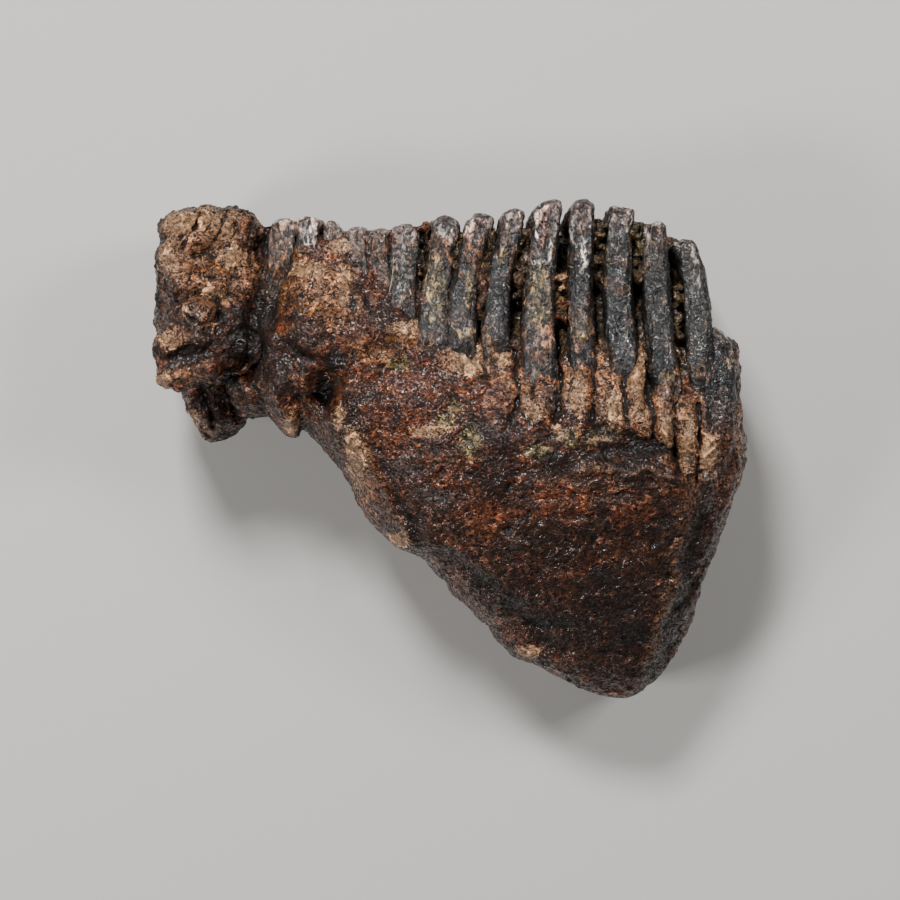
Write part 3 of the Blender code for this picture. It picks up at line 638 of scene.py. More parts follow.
def plate_place(points):
    """Across the nearest plate: 0 on its middle line and 1 halfway to the next."""
    lines = [
        np.interp(points[:, 1], (foot_y, PLATE_MID_Y, tip_y), (foot_x, mid_x, tip_x))
        for tip_x, tip_y, mid_x, foot_x, foot_y, _, _ in PLATES
    ]
    off_line = np.min(np.abs(np.array(lines) - points[:, 0]), axis=0)
    return np.clip(off_line / (PLATE_SPACING / 2), 0, 1)


def cement_ridges(points, normals):
    """Ridges that carry the hind plates' lines on below their feet."""
    x, y, _ = points.T
    below_plates = fade(y, 2, 6) * fade(y, 36, 24) * fade(x, 12, 28)
    return RIDGE_HEIGHT * (0.5 - plate_place(points)) * below_plates * (1 - np.abs(normals[:, 1]))


def growth_ledges(points):
    """Level ledges that ring the cement body."""
    y = points[:, 1]
    wavering = y + 2.2 * smooth_noise(points, 18)
    return LEDGE_HEIGHT * np.sin(wavering * 2 * np.pi / LEDGE_SPACING) * fade(y, 12, -4)


def lumps(points):
    """Lumps of the front lobe, and lower ones round the second root."""
    x, y, _ = points.T
    on_lobe = fade(x, -54, -62)
    on_root = 0.45 * fade(x, -30, -48) * fade(y, 40, 25)
    return LUMP_HEIGHT * (lump_noise(points, LUMP_SIZE) - 0.45) * np.maximum(on_lobe, on_root)


def flutes(points, normals):
    """Flutes that run down the hind end."""
    across = points[:, 2] * 2 * np.pi / FLUTE_SPACING + 1.5 * smooth_noise(points, 30)
    on_end = fade(normals[:, 0], 0.25, 0.8) * fade(points[:, 0], 40, 60)
    return FLUTE_HEIGHT * np.sin(across) * on_end


def plate_bases(points, normals):
    """The plates' lower ends, which cross the worn under edge."""
    x, y, _ = points.T
    under_edge = fade(-normals[:, 0] - normals[:, 1], 0.7, 1.2)
    on_edge = under_edge * fade(x - y, 20, 45) * fade(y, 4, -6)
    return BASE_HEIGHT * np.sin((x - y) * 2 * np.pi / BASE_SPACING) * on_edge


def relief(points, normals):
    """How far each point of the skin stands out, in millimetres."""
    facing = fade(normals[:, 2], 0.1, 0.6)
    height = cement_ridges(points, normals) + growth_ledges(points) + lumps(points)
    height += flutes(points, normals) + plate_bases(points, normals)
    for depth, half_width, all_round, line in CREASES:
        near = np.exp(-((line_distance(points, line) / half_width) ** 2))
        height -= depth * near * np.maximum(facing, all_round)
    return height + ROUGH_HEIGHT * layered_noise(points, ROUGH_SIZE, 2)


def sink_hollows(points, normals):
    """Presses hollows and grooves into the upper face, and raises its bosses and ridges."""
    facing = fade(normals[:, 2], 0, 0.5)
    wobble = np.stack([smooth_noise(points + offset, 6) for offset in (0, 50)], axis=1)
    x, y = points[:, :2].T + 0.8 * wobble.T
    for hollow_x, hollow_y, half_x, half_y, depth in HOLLOWS + LOBE_CLODS + PITS:
        reach = ((x - hollow_x) / half_x) ** 2 + ((y - hollow_y) / half_y) ** 2
        points[:, 2] -= depth * np.exp(-reach) * facing
    places = np.stack([x, y], axis=1)
    uneven = 1 + 0.6 * smooth_noise(points + 25, 9)
    # how near each point is to a groove or ridge, for the painted shade in the grooves and the painted
    # highlight on the ridges
    marked = {"groove": np.zeros(len(points)), "ridge": np.zeros(len(points))}
    for depth, half_width, line in LOBE_MARKS + BODY_MARKS + SLOTS:
        near = np.exp(-((line_distance(places, line) / half_width) ** 2)) * facing
        points[:, 2] -= depth * uneven * near
        kind = "groove" if depth > 0 else "ridge"
        marked[kind] = np.maximum(marked[kind], near)
    return points, marked


def weathering(points, normals):
    """The cement's own fine relief: clods and wrinkles on the lobe, grain and growth lines."""
    x, y, _ = points.T
    on_body = fade(y, 12, 0) * fade(x, -40, -25)
    on_lobe = fade(x, -50, -58)
    height = 0.5 * layered_noise(points, 5, 3)
    height += 0.4 * (lump_noise(points, 2.6) - LEVEL_LUMP)
    height += 0.7 * on_lobe * (lump_noise(points + 20, 4.5) - LEVEL_LUMP)
    height += (0.35 + 0.5 * on_lobe) * flakes(points * (1.2, 1, 1), 5.5, 2.5)
    height += 0.35 * on_lobe * flakes(points + 44, 2.4, 2)
    wrinkle = 1 - np.abs(layered_noise(points * (1.3, 1, 1) + 60, 3.6, 2))
    height += 0.4 * (0.6 + on_lobe) * (wrinkle**3 - 0.4)
    height += 1.5 * gap_share(points) * layered_noise(points + 12, 2.6, 3)
    wavering = y + 1.6 * layered_noise(points, 9, 2)
    broken = fade(layered_noise(points * (0.5, 1, 1) + 80, 7, 2), -0.2, 0.5)
    lines = LINE_HEIGHT * broken * np.sin(wavering * 2 * np.pi / LINE_SPACING)
    height += lines * on_body * (1 - np.abs(normals[:, 1]))
    return height


def drop_feet(points, normals):
    """Lowers the three high spots of the under side that the tooth rests on."""
    under = fade(-normals[:, 2], 0.2, 0.7)
    for x, y, spread, drop in FEET:
        reach = ((points[:, 0] - x) ** 2 + (points[:, 1] - y) ** 2) / spread**2
        points[:, 2] -= drop * np.exp(-reach) * under
    return points


def neighbour_mean(mesh, values, rounds):
    """The values averaged with their neighbours along the mesh's edges, again and again."""
    edges = np.empty(len(mesh.edges) * 2, np.int32)
    mesh.edges.foreach_get("vertices", edges)
    first, second = edges.reshape(-1, 2).T
    count = np.bincount(edges, minlength=len(values))[:, None] + 1
    for _ in range(rounds):
        total = values.copy()
        for axis in range(values.shape[1]):
            column = values[:, axis]
            total[:, axis] += np.bincount(first, column[second], len(values))
            total[:, axis] += np.bincount(second, column[first], len(values))
        values = total / count
    return values


def cavity(mesh, rounds):
    """How far each point lies below its smoothed surroundings, in millimetres."""
    points, normals = read_points(mesh)
    return ((neighbour_mean(mesh, points, rounds) - points) * normals).sum(axis=1)


def stain_shares(points, normals, stains, wander=2):
    """How strongly each stain lies on each point; the other sides have them at random."""
    drift = np.stack([layered_noise(points + k, 9, 2) for k in (10, 20)], axis=1) * wander
    x, y = (points[:, :2] + drift).T
    near_side = fade(points[:, 2], 18, 40) * fade(normals[:, 2], -0.15, 0.3)
    shares = {}
    for number, (name, patches) in enumerate(stains.items()):
        stray = fade(layered_noise(points + 300 * (number + 1), 18, 2), 0.05, 0.6)
        share = 0.8 * stray * (1 - near_side)
        for patch_x, patch_y, half_x, half_y in patches:
            reach = np.hypot((x - patch_x) / half_x, (y - patch_y) / half_y)
            share = np.maximum(share, fade(reach, *STAIN_EDGE) * near_side)
        shares[name] = share
    return shares


def gap_share(points):
    """How deep each point lies in the gaps between the hind plates."""
    x, y, z = points.T
    deepest, nearest = GAP_DEPTHS
    inside = fade(np.minimum(nearest - z, z - deepest), 2, 6)
    above = fade(y - np.interp(x, *CEMENT_LINE), 0, 5)
    return fade(x, -13, -10) * fade(x, 79, 75) * above * inside


def give_values(mesh, values):
    """Stores values at the points, by name, for the materials to read."""
    for name, value in values.items():
        layer = mesh.attributes.new(name, "FLOAT", "POINT")
        layer.data.foreach_set("value", value.astype(np.float32))


def weather(mesh):
    """Shapes a fused skin as its solid is shaped, then gives it its fine relief."""
    points, _ = read_points(mesh)
    write_points(mesh, points + sway(points))
    points, normals = read_points(mesh)
    points += normals * relief(points, normals)[:, None]
    points, marked = sink_hollows(points, normals)
    points = drop_feet(points, normals)
    write_points(mesh, points)
    points, normals = read_points(mesh)
    fine = weathering(points, normals)
    give_values(mesh, {"gap": gap_share(points), **marked})
    give_values(mesh, stain_shares(points, normals, STAINS))
    points += normals * fine[:, None]
    points[:, 2] = np.maximum(points[:, 2], 0)
    write_points(mesh, points)
    # how far each point lies below its surroundings, for the painted shade in crevices and hollows
    give_values(mesh, {"crevice_shade": cavity(mesh, 8), "hollow": cavity(mesh, 60)})
    return mesh


def cement_skin():
    """The cement: body, crown, gaps, second root and base rim, each with its roundness."""
    forms = [body(rows, roundness) for rows, roundness in (
        (CEMENT_BODY, 3), (FRONT_CROWN, 3.4), (HIND_CROWN, 3.4), (MIDDLE_CEMENT, 3.4),
        (END_LOBE, 2.6), (BRIDGE, 3), (SECOND_ROOT, 2.2), (BASE_RIM, 2.4),
    )]
    forms += [finger(*row) for row in CEMENT_FINGERS]
    for row in GAP_CEMENT:
        forms += crumbs(*row)
    return thinned(weather(fused(forms, CEMENT_VOXEL)), PIECE_TRIANGLES)


def lobe_skin():
    """The front lobe: its lumps, the first plates' stumps and the front root."""
    forms = [body(FRONT_LOBE, 2.8), body(FRONT_ROOT, 2.4)]
    forms += [stump(plate) for plate in STUMPS]
    forms += [ball((x, y, z), (radius, radius, radius * 0.9)) for x, y, z, radius in LOBE_LUMPS]
    return thinned(weather(fused(forms, LOBE_VOXEL)), LOBE_TRIANGLES)


def rootlet_lines():
    """Each rootlet's radius and its points x, y, bent a little."""
    lines = [(LONG_RADIUS, np.array(line)) for line in LONG_ROOTLETS]
    for _ in range(SHORT_ROOTLETS):
        start = rng.uniform(*ROOTLET_FIELD)
        heading = rng.uniform(0, 2 * np.pi)
        bend = rng.normal(0, 0.7)
        steps = rng.uniform(*ROOTLET_LENGTHS) / 3 * np.array([
            (np.cos(heading + k * bend), np.sin(heading + k * bend)) for k in range(3)
        ])
        lines.append((rng.uniform(*ROOTLET_RADII), np.cumsum([start, *steps], axis=0)))
    return lines


def rootlet(radius, path, heights):
    """Lofts one rootlet along its path, thinner towards its ends."""
    turns = np.linspace(0, 2 * np.pi, ROOTLET_SIDES, endpoint=False)
    steps = np.gradient(path, axis=0)
    rings = []
    for k, (x, y) in enumerate(path):
        side = np.array((-steps[k, 1], steps[k, 0], 0)) / np.linalg.norm(steps[k])
        taper = radius * (0.35 + 0.65 * np.sin(np.pi * (k + 1) / (len(path) + 1)))
        ring = np.outer(np.cos(turns), side) + np.outer(np.sin(turns), (0, 0, 1))
        rings.append((x, y, heights[k]) + taper * ring)
    return loft(rings)


def rootlets(meshes):
    """Thin dry rootlets that lie on the skins, in one mesh."""
    trees = []
    for mesh in meshes:
        corners = [vertex.co for vertex in mesh.vertices]
        faces = [face.vertices[:] for face in mesh.polygons]
        trees.append(BVHTree.FromPolygons(corners, faces))
    forms = []
    for radius, line in rootlet_lines():
        path = smooth_table([(k, *point) for k, point in enumerate(line)], ROOTLET_STEP)[:, 1:]
        heights = []
        for x, y in path:
            above = Vector((x, y, FELT_FROM))
            hits = [tree.ray_cast(above, Vector((0, 0, -1)))[0] for tree in trees]
            heights.append(max((hit.z for hit in hits if hit), default=0))
        if min(heights) < ROOTLET_LOWEST or np.ptp(heights) > ROOTLET_STEEPEST:
            continue
        settled = np.convolve(np.pad(heights, 3, mode="edge"), np.ones(7) / 7, "valid")
        forms.append(rootlet(radius, path, np.maximum(settled, heights) + 0.7 * radius))
    return joined_mesh("rootlets", forms)


# Rows of a plate's worn cap, from its middle to its rim: inset, depth below the tip
CAP_ROWS = (
    (1, 1), (0.8, 1.05), (0.62, 0.95), (0.46, 0.7),
    (0.38, 0.15), (0.26, 0), (0.12, 0.1), (0.03, 0.5),
)
ROW_STEP = 0.6
END_POINTS = 22
SIDE_POINTS = 62
# The worn top: how far its corners are rounded off, and how wide its fingers and folds are
CORNER_WEAR = 1.6
FINGER_WIDTH = 9.5
FOLD_SIZE = 3.4
# The near edge's open strip: its share of the thickness, how far it is sunk, its rim's width
OPEN_WIDTH = 0.62
OPEN_DEPTH = 0.45
RIM_WIDTH = 0.12


def plate_ring(power):
    """A stadium seen from above: share of the thickness, of the straight run, of the end."""
    turn = np.linspace(-np.pi / 2, np.pi / 2, END_POINTS, endpoint=False)
    run = np.linspace(1, -1, SIDE_POINTS, endpoint=False)
    sideways = np.sign(turn) * np.abs(np.sin(turn)) ** power
    near = np.stack([sideways, np.ones(END_POINTS), np.abs(np.cos(turn)) ** power])
    right = np.stack([np.ones(SIDE_POINTS), run, np.zeros(SIDE_POINTS)])
    return np.hstack([near, right, -near, -right])


def plate_rows(plate, path, ring, depths, insets):
    """A plate's points, ring by ring down from its tip."""
    _, tip_y, _, _, _, thickness, half_width = plate
    across, run, end = ring
    rows = []
    for depth, inset in zip(depths, insets):
        x, thicker, wider = (np.interp(tip_y - depth, path[:, 0], path[:, k]) for k in (1, 2, 3))
        full = thickness / 2 * thicker
        half_x = max(full * (1 - inset), 0.02)
        straight = half_width * wider - full
        z = PLATE_CENTRE_Z + run * straight + end * half_x
        rows.append(np.stack([x + across * half_x, np.full(len(run), tip_y - depth), z], axis=1))
    return np.concatenate(rows)


def enamel_plate(plate, wear, number):
    """One enamel plate's form, and the values at its points that its finish needs."""
    _, tip_y, _, _, foot_y, _, half_width = plate
    side_drop, slope, open_length, finger_depth = wear
    across, run, end = plate_ring(SQUARENESS[0] if number < FRONT_PLATES else SQUARENESS[1])
    path = smooth_table(plate_path(plate), LOFT_STEP)[::-1]
    length = tip_y - (foot_y - PLATE_ROOT_DEPTH * 0.7)
    depths = np.concatenate([[row[1] for row in CAP_ROWS], np.arange(1.1, length, ROW_STEP)])
    insets = np.concatenate([[row[0] for row in CAP_ROWS], np.zeros(len(depths) - len(CAP_ROWS))])
    points = plate_rows(plate, path, (across, run, end), depths, insets)
    depth = np.repeat(depths, len(run))
    inset = np.repeat(insets, len(run))
    side = np.tile(across, len(depths)) * (1 - inset)
    z = points[:, 2]
    # the worn top: sides that drop, a slope, rounded corners and fingers
    top = fade(depth, 12, 0)
    outward = np.abs(z - PLATE_CENTRE_Z) / half_width
    points[:, 1] += fade(inset, 0.3, 0.45) * (depth + 0.2) * fade(outward, 0.5, 0.8)
    corner = CORNER_WEAR * np.clip(outward, 0, 1) ** 14
    here = np.stack([z, np.zeros(len(z)), np.full(len(z), 31 * number)], axis=1)
    wandering = z + 4.3 * number + 5 * smooth_noise(here, 15)
    between = np.abs(np.cos(np.pi * wandering / FINGER_WIDTH)) ** 5
    points[:, 1] += top * (slope * side - side_drop * side**2 - corner - finger_depth * between)
    middle_x = np.interp(points[:, 1], path[:, 0], path[:, 1])
    pinch = 0.05 * finger_depth * between * fade(depth, 22, 4)
    here = np.stack([z, depth * 0.12, np.full(len(z), 50 * number)], axis=1)
    fold = 0.1 * smooth_noise(here, FOLD_SIZE)
    points[:, 0] = middle_x + (points[:, 0] - middle_x) * (1 - pinch + fold)
    # the near edge, worn open to the dentine below the tip
    near_edge = np.tile(np.clip(end, 0, 1), len(depths)) * (inset < 0.01) * (depth < open_length)
    open_width = OPEN_WIDTH * np.sqrt(np.clip(1 - (depth / open_length) ** 3, 0, 1))
    opened = near_edge * fade(np.abs(side), open_width, open_width - 0.2)
    points[:, 2] -= OPEN_DEPTH * opened
    dentine = np.maximum(opened, fade(inset, 0.36, 0.48))
    off_rim = (np.abs(side) - open_width - 0.08) / RIM_WIDTH
    rim = np.maximum(near_edge * np.exp(-(off_rim**2)), fade(inset, 0.05, 0.2) * (1 - dentine))
    form = loft(np.split(points, len(depths)))
    return form, {"depth": depth, "dentine": dentine, "rim": rim}


def enamel_skin():
    """All the enamel plates in one mesh."""
    worn_plates = zip((*PLATES, END_PLATE), (*TIP_WEAR, END_WEAR))
    made = [enamel_plate(plate, wear, number) for number, (plate, wear) in enumerate(worn_plates)]
    values = {name: np.concatenate([value[name] for _, value in made]) for name in made[0][1]}
    mesh = joined_mesh("enamel_plates", [form for form, _ in made])
    points, _ = read_points(mesh)
    write_points(mesh, points + sway(points))
    points, normals = read_points(mesh)
    # on the enamel the gap depth carries only the painted shade on the plates' sides deep in the gaps
    give_values(mesh, {"gap": gap_share(points), **values})
    give_values(mesh, stain_shares(points, normals, ENAMEL_STAINS, 1))
    write_points(mesh, points + normals * enamel_relief(points, normals, values["depth"])[:, None])
    # how far each point lies below its surroundings, for the painted shade in crevices
    give_values(mesh, {"crevice_shade": cavity(mesh, 8)})
    return thinned(mesh, PIECE_TRIANGLES)


def enamel_relief(points, normals, depth):
    """Growth rings, upright wrinkles, worn grain and chips of the enamel, in millimetres."""
    outside = 1 - np.abs(normals[:, 1])
    wavering = depth + 0.5 * layered_noise(points, 5, 2)
    rings = RING_HEIGHT * np.sin(wavering * 2 * np.pi / RING_SPACING)
    rings += 0.12 * smooth_noise(points * (0.3, 1, 0.3), 3)
    height = rings * fade(depth, 12, 24) * outside
    wrinkle = 1 - np.abs(layered_noise(points * (1, 0.12, 1), 2.8, 2))
    height += WRINKLE_HEIGHT * (wrinkle**4 - 0.4) * outside
    height += 0.5 * layered_noise(points * (1, 0.6, 1) + 33, 4, 3)
    height += 0.22 * (lump_noise(points + 5, 1.9) - LEVEL_LUMP)
    chips = fade(lump_noise(points + 70, 4.2), 0.5, 0.8) * fade(depth, 14, 2)
    return height - CHIP_DEPTH * chips


# Varnish: how rough it is, how much of it the raised specks have, and where they start and end
VARNISH_ROUGHNESS = 0.08
VARNISH_SHARE = 0.9
RAISED_SPECKS = (0.45, 0.55)


def linear(hex_colour):
    """A colour written as sRGB hex, turned to linear light."""
    shares = [int(hex_colour[k:k + 2], 16) / 255 for k in (1, 3, 5)]
    return tuple(s / 12.92 if s <= 0.04045 else ((s + 0.055) / 1.055) ** 2.4 for s in shares) + (1,)


def add(tree, kind, inputs, output=0, **settings):
    """Adds a node, sets it, links or fills its inputs, and gives back one of its outputs."""
    made = tree.nodes.new("ShaderNode" + kind)
    for name, value in settings.items():
        setattr(made, name, value)
    for name, value in inputs.items():
        if isinstance(value, bpy.types.NodeSocket):
            tree.links.new(value, made.inputs[name])
        else:
            made.inputs[name].default_value = value
    return made.outputs[output]


def new_material(name, roughness, ior=1.5):
    """An empty material with its shader, and the place of each point in it."""
    material = bpy.data.materials.new(name)
    material.use_nodes = True
    tree = material.node_tree
    shader = tree.nodes["Principled BSDF"]
    shader.inputs["Roughness"].default_value = roughness
    shader.inputs["IOR"].default_value = ior
    place = add(tree, "TexCoord", {}, "Object")
    return material, tree, shader, place


def causes(tree, place, clouds, stored=()):
    """What a coat can follow, by name: clouds, and the values that the mesh carries.

    A cloud is its feature size in mm, layers, their roughness, warp and shrink along y.
    """
    made = {}
    for name, (size_mm, layers, roughness, warp, along_y) in clouds.items():
        drawn = add(tree, "Mapping", {"Vector": place, "Scale": (1, along_y, 1)})
        inputs = {
            "Vector": drawn, "Scale": 1 / (size_mm * MM), "Detail": layers,
            "Roughness": roughness, "Distortion": warp,
        }
        # the clouds called crinkle are sharp crests, the others are soft
        crests = "crinkle" in name
        kind = "RIDGED_MULTIFRACTAL" if crests else "FBM"
        made[name] = add(tree, "TexNoise", inputs, noise_type=kind, normalize=not crests)
    for name in stored:
        made[name] = add(tree, "Attribute", {}, "Fac", attribute_name=name)
    return made


def ragged_edge(tree, cause):
    """The pattern that frays the edges of the stains."""
    inputs = {0: cause["speck"], 1: 0.6, 2: cause["mottle"]}
    return add(tree, "Math", inputs, operation="MULTIPLY_ADD")


def laid_over(tree, cause, colour, edge, coats):
    """Lays coats on a colour.

    A coat is its cause, the two values that it grows between once the edge pattern is
    added to that, its greatest share and its colour.
    """
    for name, start, end, most, hex_colour in coats:
        uneven = add(tree, "Math", {0: cause[name], 1: edge}, operation="ADD")
        spread = {"Value": uneven, "From Min": start, "From Max": end, "To Max": most}
        share = add(tree, "MapRange", spread, interpolation_type="SMOOTHSTEP")
        mixed = {0: share, 6: colour, 7: linear(hex_colour)}
        colour = add(tree, "Mix", mixed, 2, data_type="RGBA")
    return colour


def speckled(tree, colour, speck, most):
    """Darkens the colour to black in its sunk specks and brightens its raised ones: painted shade and
    painted light.
    """
    spread = {"Value": speck, "From Min": 0.42, "From Max": 0.62, "To Min": 0.1, "To Max": most}
    factor = add(tree, "MapRange", spread)
    mixed = {0: 1, 6: colour, 7: factor}
    return add(tree, "Mix", mixed, 2, data_type="RGBA", blend_type="MULTIPLY")


def varnished(tree, shader, cause, layers):
    """Gives the shader its relief, and a varnish that shines on the raised specks."""
    height = 0
    for name, depth_mm in layers:
        inputs = {0: cause[name], 1: depth_mm * MM, 2: height}
        height = add(tree, "Math", inputs, operation="MULTIPLY_ADD")
    bump = add(tree, "Bump", {"Strength": 1, "Distance": 1, "Height": height})
    low, high = RAISED_SPECKS
    spread = {"Value": cause["speck"], "From Min": low, "From Max": high, "To Max": VARNISH_SHARE}
    tree.links.new(bump, shader.inputs["Normal"])
    tree.links.new(bump, shader.inputs["Coat Normal"])
    tree.links.new(add(tree, "MapRange", spread), shader.inputs["Coat Weight"])
    shader.inputs["Coat Roughness"].default_value = VARNISH_ROUGHNESS


def fossil_cement():
    """Root cement: bone-like, mineralised, iron-stained by the soil and sealed with varnish.

    To the eye: dark brown with a tan crust on what stands out, and a wet-looking sparkle
    from the varnish on its grains. Painted highlights lighten the crests of its crinkles,
    and painted shade makes it near black in the pits, creases, hollows, grooves and the
    crinkles' troughs. The real grains are finer
    than a tenth of a millimetre; they are drawn about ten times as coarse, so that they show.
    """
    material, tree, shader, place = new_material("weathered_cement", 0.65, 1.35)
    cause = causes(tree, place, {
        "broad": (16, 3, 0.6, 0, 1),
        "mottle": (4.2, 5, 0.7, 0.5, 1.25),
        "speck": (1.3, 3, 0.6, 1.5, 1.1),
        "grain": (1.6, 2, 0.5, 1, 1),
        "crinkle": (4, 2, 0.7, 1, 1),
        "fine_crinkle": (1.5, 0, 0.6, 1, 1),
    }, ("crevice_shade", "hollow", "gap", "ridge", "groove", *STAINS))
    ragged = ragged_edge(tree, cause)
    colour = laid_over(tree, cause, linear("#33170b"), 0, (
        ("broad", 0.4, 0.62, 1, "#653114"),
        ("mottle", 0.5, 0.67, 0.82, "#965f40"),
        ("mottle", 0.46, 0.34, 0.7, "#1f0d06"),
    ))
    colour = laid_over(tree, cause, colour, ragged, (
        ("gap", 1, 1.3, 0.9, "#5a472e"),
        ("buff", 1, 1.65, 0.75, "#a8724e"),
        ("rust", 1.15, 1.75, 0.48, "#84421f"),
        ("ochre", 1.1, 1.8, 0.7, "#935f34"),
        ("olive", 1.05, 1.75, 0.75, "#83734a"),
        # painted shade over the lower body, the tip, the sides that face away and the hollows
        ("painted_shade", 1.1, 1.7, 0.7, "#1e0e07"),
        ("grey", 1.2, 1.8, 0.7, "#544f4d"),
        ("pale_crust", 1, 1.55, 0.95, "#cd9c74"),
        # painted shade in the pits, hollows and crease, and black stain
        ("shade_and_black", 1.1, 1.7, 1, "#110907"),
        # painted highlight along the raised ridges
        ("ridge", 1.3, 1.9, 0.3, "#a0704e"),
        # painted shade in the grooves and slots
        ("groove", 1.1, 1.9, 0.6, "#0f0705"),
    ))
    # painted shade in the sunk specks and painted light on the raised ones
    colour = speckled(tree, colour, cause["speck"], 2.7)
    colour = laid_over(tree, cause, colour, ragged, (("pale_crust", 1.25, 1.8, 0.45, "#cb986c"),))
    colour = laid_over(tree, cause, colour, 0, (
        # painted shade in the crinkles' troughs, painted highlights on their crests and fine crests
        ("crinkle", 0.32, 0, 0.7, "#110702"),
        ("crinkle", 0.65, 1.15, 0.62, "#bc8867"),
        ("fine_crinkle", 0.7, 1, 0.65, "#d6b8a2"),
        # painted shade in the crevices and hollows
        ("crevice_shade", 0.03, 0.3, 0.85, "#0b0401"),
        ("hollow", 0.3, 1.6, 0.85, "#100603"),
    ))
    tree.links.new(colour, shader.inputs["Base Color"])
    varnished(tree, shader, cause, (("crinkle", 1), ("fine_crinkle", 0.2), ("grain", 0.7)))
    return material


def fossil_enamel():
    """Tooth enamel: the hardest tissue, stained blue-black by minerals, ringed by growth.

    To the eye: dark slate with a glassy gloss, pale broken rims round tan dentine at
    the worn tips, and khaki cement that still clings to it. Painted highlights lighten
    the crests of its crinkles, and painted shade darkens their troughs, its crevices and
    the plates' sides deep in the gaps between them.
    """
    material, tree, shader, place = new_material("stained_enamel", 0.55)
    cause = causes(tree, place, {
        "mottle": (3, 5, 0.65, 0.5, 1),
        "cling": (7, 5, 0.65, 0.5, 1),
        "streak": (1.8, 3, 0.65, 0.5, 0.2),
        "speck": (1.1, 3, 0.6, 1, 0.6),
        "grain": (1.6, 2, 0.5, 1, 1),
        "crinkle": (3.4, 2, 0.7, 1, 0.45),
        "fine_crinkle": (1.4, 0, 0.6, 1, 0.6),
    }, ("depth", "crevice_shade", "gap", "dentine", "rim", *ENAMEL_STAINS))
    ragged = ragged_edge(tree, cause)
    along = add(tree, "SeparateXYZ", {"Vector": place}, "X")
    for name, value, start, end in (
        ("front", along, 0.035, -0.012),
        ("tip", cause["depth"], 11, 1),
    ):
        spread = {"Value": value, "From Min": start, "From Max": end}
        cause[name] = add(tree, "MapRange", spread)
    colour = laid_over(tree, cause, linear("#0c0c0d"), 0, (
        ("streak", 0.46, 0.62, 1, "#34353a"),
        ("mottle", 0.5, 0.64, 0.75, "#807061"),
        ("front", 0, 1, 0.9, "#291d15"),
    ))
    colour = laid_over(tree, cause, colour, cause["streak"], (("front", 1.42, 1.6, 0.85, "#7d634e"),))
    colour = laid_over(tree, cause, colour, 0, (("cling", 0.48, 0.6, 0.85, "#6e492d"),))
    colour = laid_over(tree, cause, colour, ragged, (
        ("tip", 1.05, 1.6, 0.85, "#b39485"),
        ("umber", 1, 1.6, 0.88, "#7c5236"),
        ("khaki", 1.1, 1.7, 0.85, "#8a744c"),
        ("black", 1.1, 1.7, 0.85, "#08080a"),
        ("pale_streak", 1, 1.5, 0.9, "#cdc2b6"),
        ("dentine", 1.3, 2, 0.8, "#8f6555"),
        ("rim", 1.1, 1.8, 0.8, "#c0b6ac"),
    ))
    # painted shade in the sunk specks and painted light on the raised ones
    colour = speckled(tree, colour, cause["speck"], 3.8)
    colour = laid_over(tree, cause, colour, 0, (
        # painted shade in the crinkles' troughs, painted highlights on their crests and fine crests
        ("crinkle", 0.34, 0, 0.85, "#060607"),
        ("crinkle", 0.75, 1.25, 0.55, "#a59182"),
        ("fine_crinkle", 0.76, 1.05, 0.6, "#d8cbbf"),
        # painted shade in the crevices
        ("crevice_shade", 0.03, 0.3, 0.9, "#050505"),
        # painted shade on the plates' sides deep in the gaps between them
        ("gap", 0.1, 0.8, 0.7, "#120e0c"),
    ))
    tree.links.new(colour, shader.inputs["Base Color"])
    layers = ("crinkle", 0.7), ("fine_crinkle", 0.2), ("grain", 0.5), ("streak", 0.6)
    varnished(tree, shader, cause, layers)
    return material


def dry_rootlet():
    """A dead plant rootlet, dried out: pale straw brown, dull, darker in places."""
    material, tree, shader, place = new_material("dry_rootlet", 0.6, 1.45)
    cause = causes(tree, place, {"mottle": (1.5, 3, 0.6, 0, 1)})
    coats = (("mottle", 0.4, 0.6, 1, "#b8a48c"),)
    colour = laid_over(tree, cause, linear("#6f5a48"), 0, coats)
    tree.links.new(colour, shader.inputs["Base Color"])
    return material


def show(name, mesh, material, shift):
    """Places a skin on the frame's solid, in metres, and has it stand for the solid."""
    points, _ = read_points(mesh)
    write_points(mesh, (points + shift) * MM)
    mesh.materials.clear()
    mesh.materials.append(material)
    mesh.shade_smooth()
    mesh.name = name
    piece = bpy.data.objects.new(name, mesh)
    bpy.context.scene.collection.objects.link(piece)
    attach(piece, "root")
    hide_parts(TOOTH)


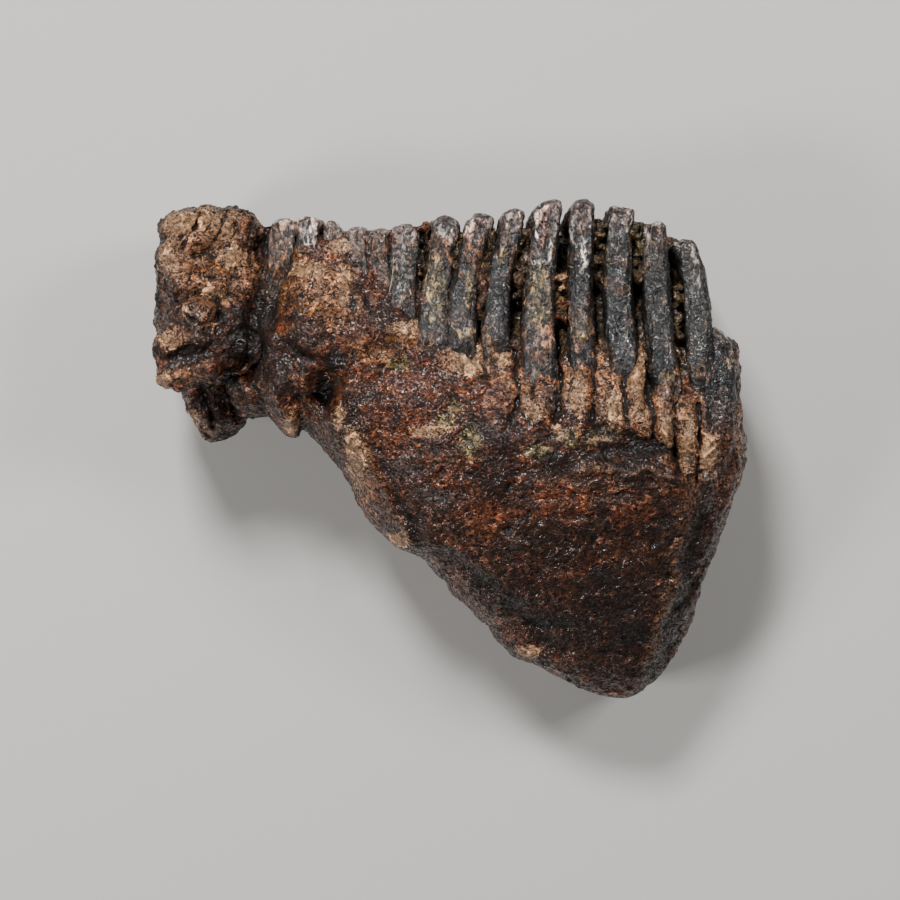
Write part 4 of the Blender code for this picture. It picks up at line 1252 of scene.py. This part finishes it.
def build_tooth():
    """Makes the skins and moves them together onto the frame's solid."""
    cement, lobe, enamel = cement_skin(), lobe_skin(), enamel_skin()
    points = np.concatenate([read_points(mesh)[0] for mesh in (cement, lobe, enamel)])
    low, high = (np.array(corner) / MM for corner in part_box(TOOTH))
    shift = (low + high) / 2 - (points.min(axis=0) + points.max(axis=0)) / 2
    shift[2] = 0
    show("rootlets", rootlets((cement, lobe, enamel)), dry_rootlet(), shift)
    cement_finish, enamel_finish = fossil_cement(), fossil_enamel()
    show("cement_body", cement, cement_finish, shift)
    show("front_lobe", lobe, cement_finish, shift)
    show("enamel_plates", enamel, enamel_finish, shift)


FLOOR_SIZE = 3
CAMERA_PLACE = (0, 0.0009, 0.937)
CAMERA_LENS = 120
SENSOR = 36
# Lights: place and power; they are square and look at the middle of the tooth
LIGHTS = {
    "key_light": ((-0.25, 0.7, 1), 16),
    "left_light": ((-0.75, -0.25, 0.8), 6),
    "right_light": ((0.6, 0.3, 0.8), 4),
}
LIGHT_SIZE = 0.25
LIGHT_AIM = (0, 0, 0.03)


def pale_floor():
    """A plain pale floor that the tooth lies on."""
    bm = bmesh.new()
    bmesh.ops.create_grid(bm, x_segments=1, y_segments=1, size=FLOOR_SIZE / 2)
    mesh = bpy.data.meshes.new("floor")
    bm.to_mesh(mesh)
    bm.free()
    material, _, shader, _ = new_material("pale_floor", 0.9)
    shader.inputs["Base Color"].default_value = linear("#cfccc7")
    mesh.materials.append(material)
    floor = bpy.data.objects.new("floor", mesh)
    bpy.context.scene.collection.objects.link(floor)


def studio():
    """Soft light from above the chewing edge, a weaker light from each side, and the camera."""
    for name, (place, watts) in LIGHTS.items():
        light = bpy.data.lights.new(name, "AREA")
        light.size = LIGHT_SIZE
        light.energy = watts
        lamp = bpy.data.objects.new(name, light)
        lamp.location = place
        aim = Vector(LIGHT_AIM) - Vector(place)
        lamp.rotation_euler = aim.to_track_quat("-Z", "Y").to_euler()
        bpy.context.scene.collection.objects.link(lamp)
    world = bpy.data.worlds.new("studio")
    world.use_nodes = True
    sky = world.node_tree.nodes["Background"].inputs
    sky["Color"].default_value = linear("#e8eaee")
    sky["Strength"].default_value = 0.07
    bpy.context.scene.world = world
    lens = bpy.data.cameras.new("camera")
    lens.lens = CAMERA_LENS
    lens.sensor_width = SENSOR
    camera = bpy.data.objects.new("camera", lens)
    camera.location = CAMERA_PLACE
    bpy.context.scene.collection.objects.link(camera)
    bpy.context.scene.camera = camera


studio()
pale_floor()
build_tooth()
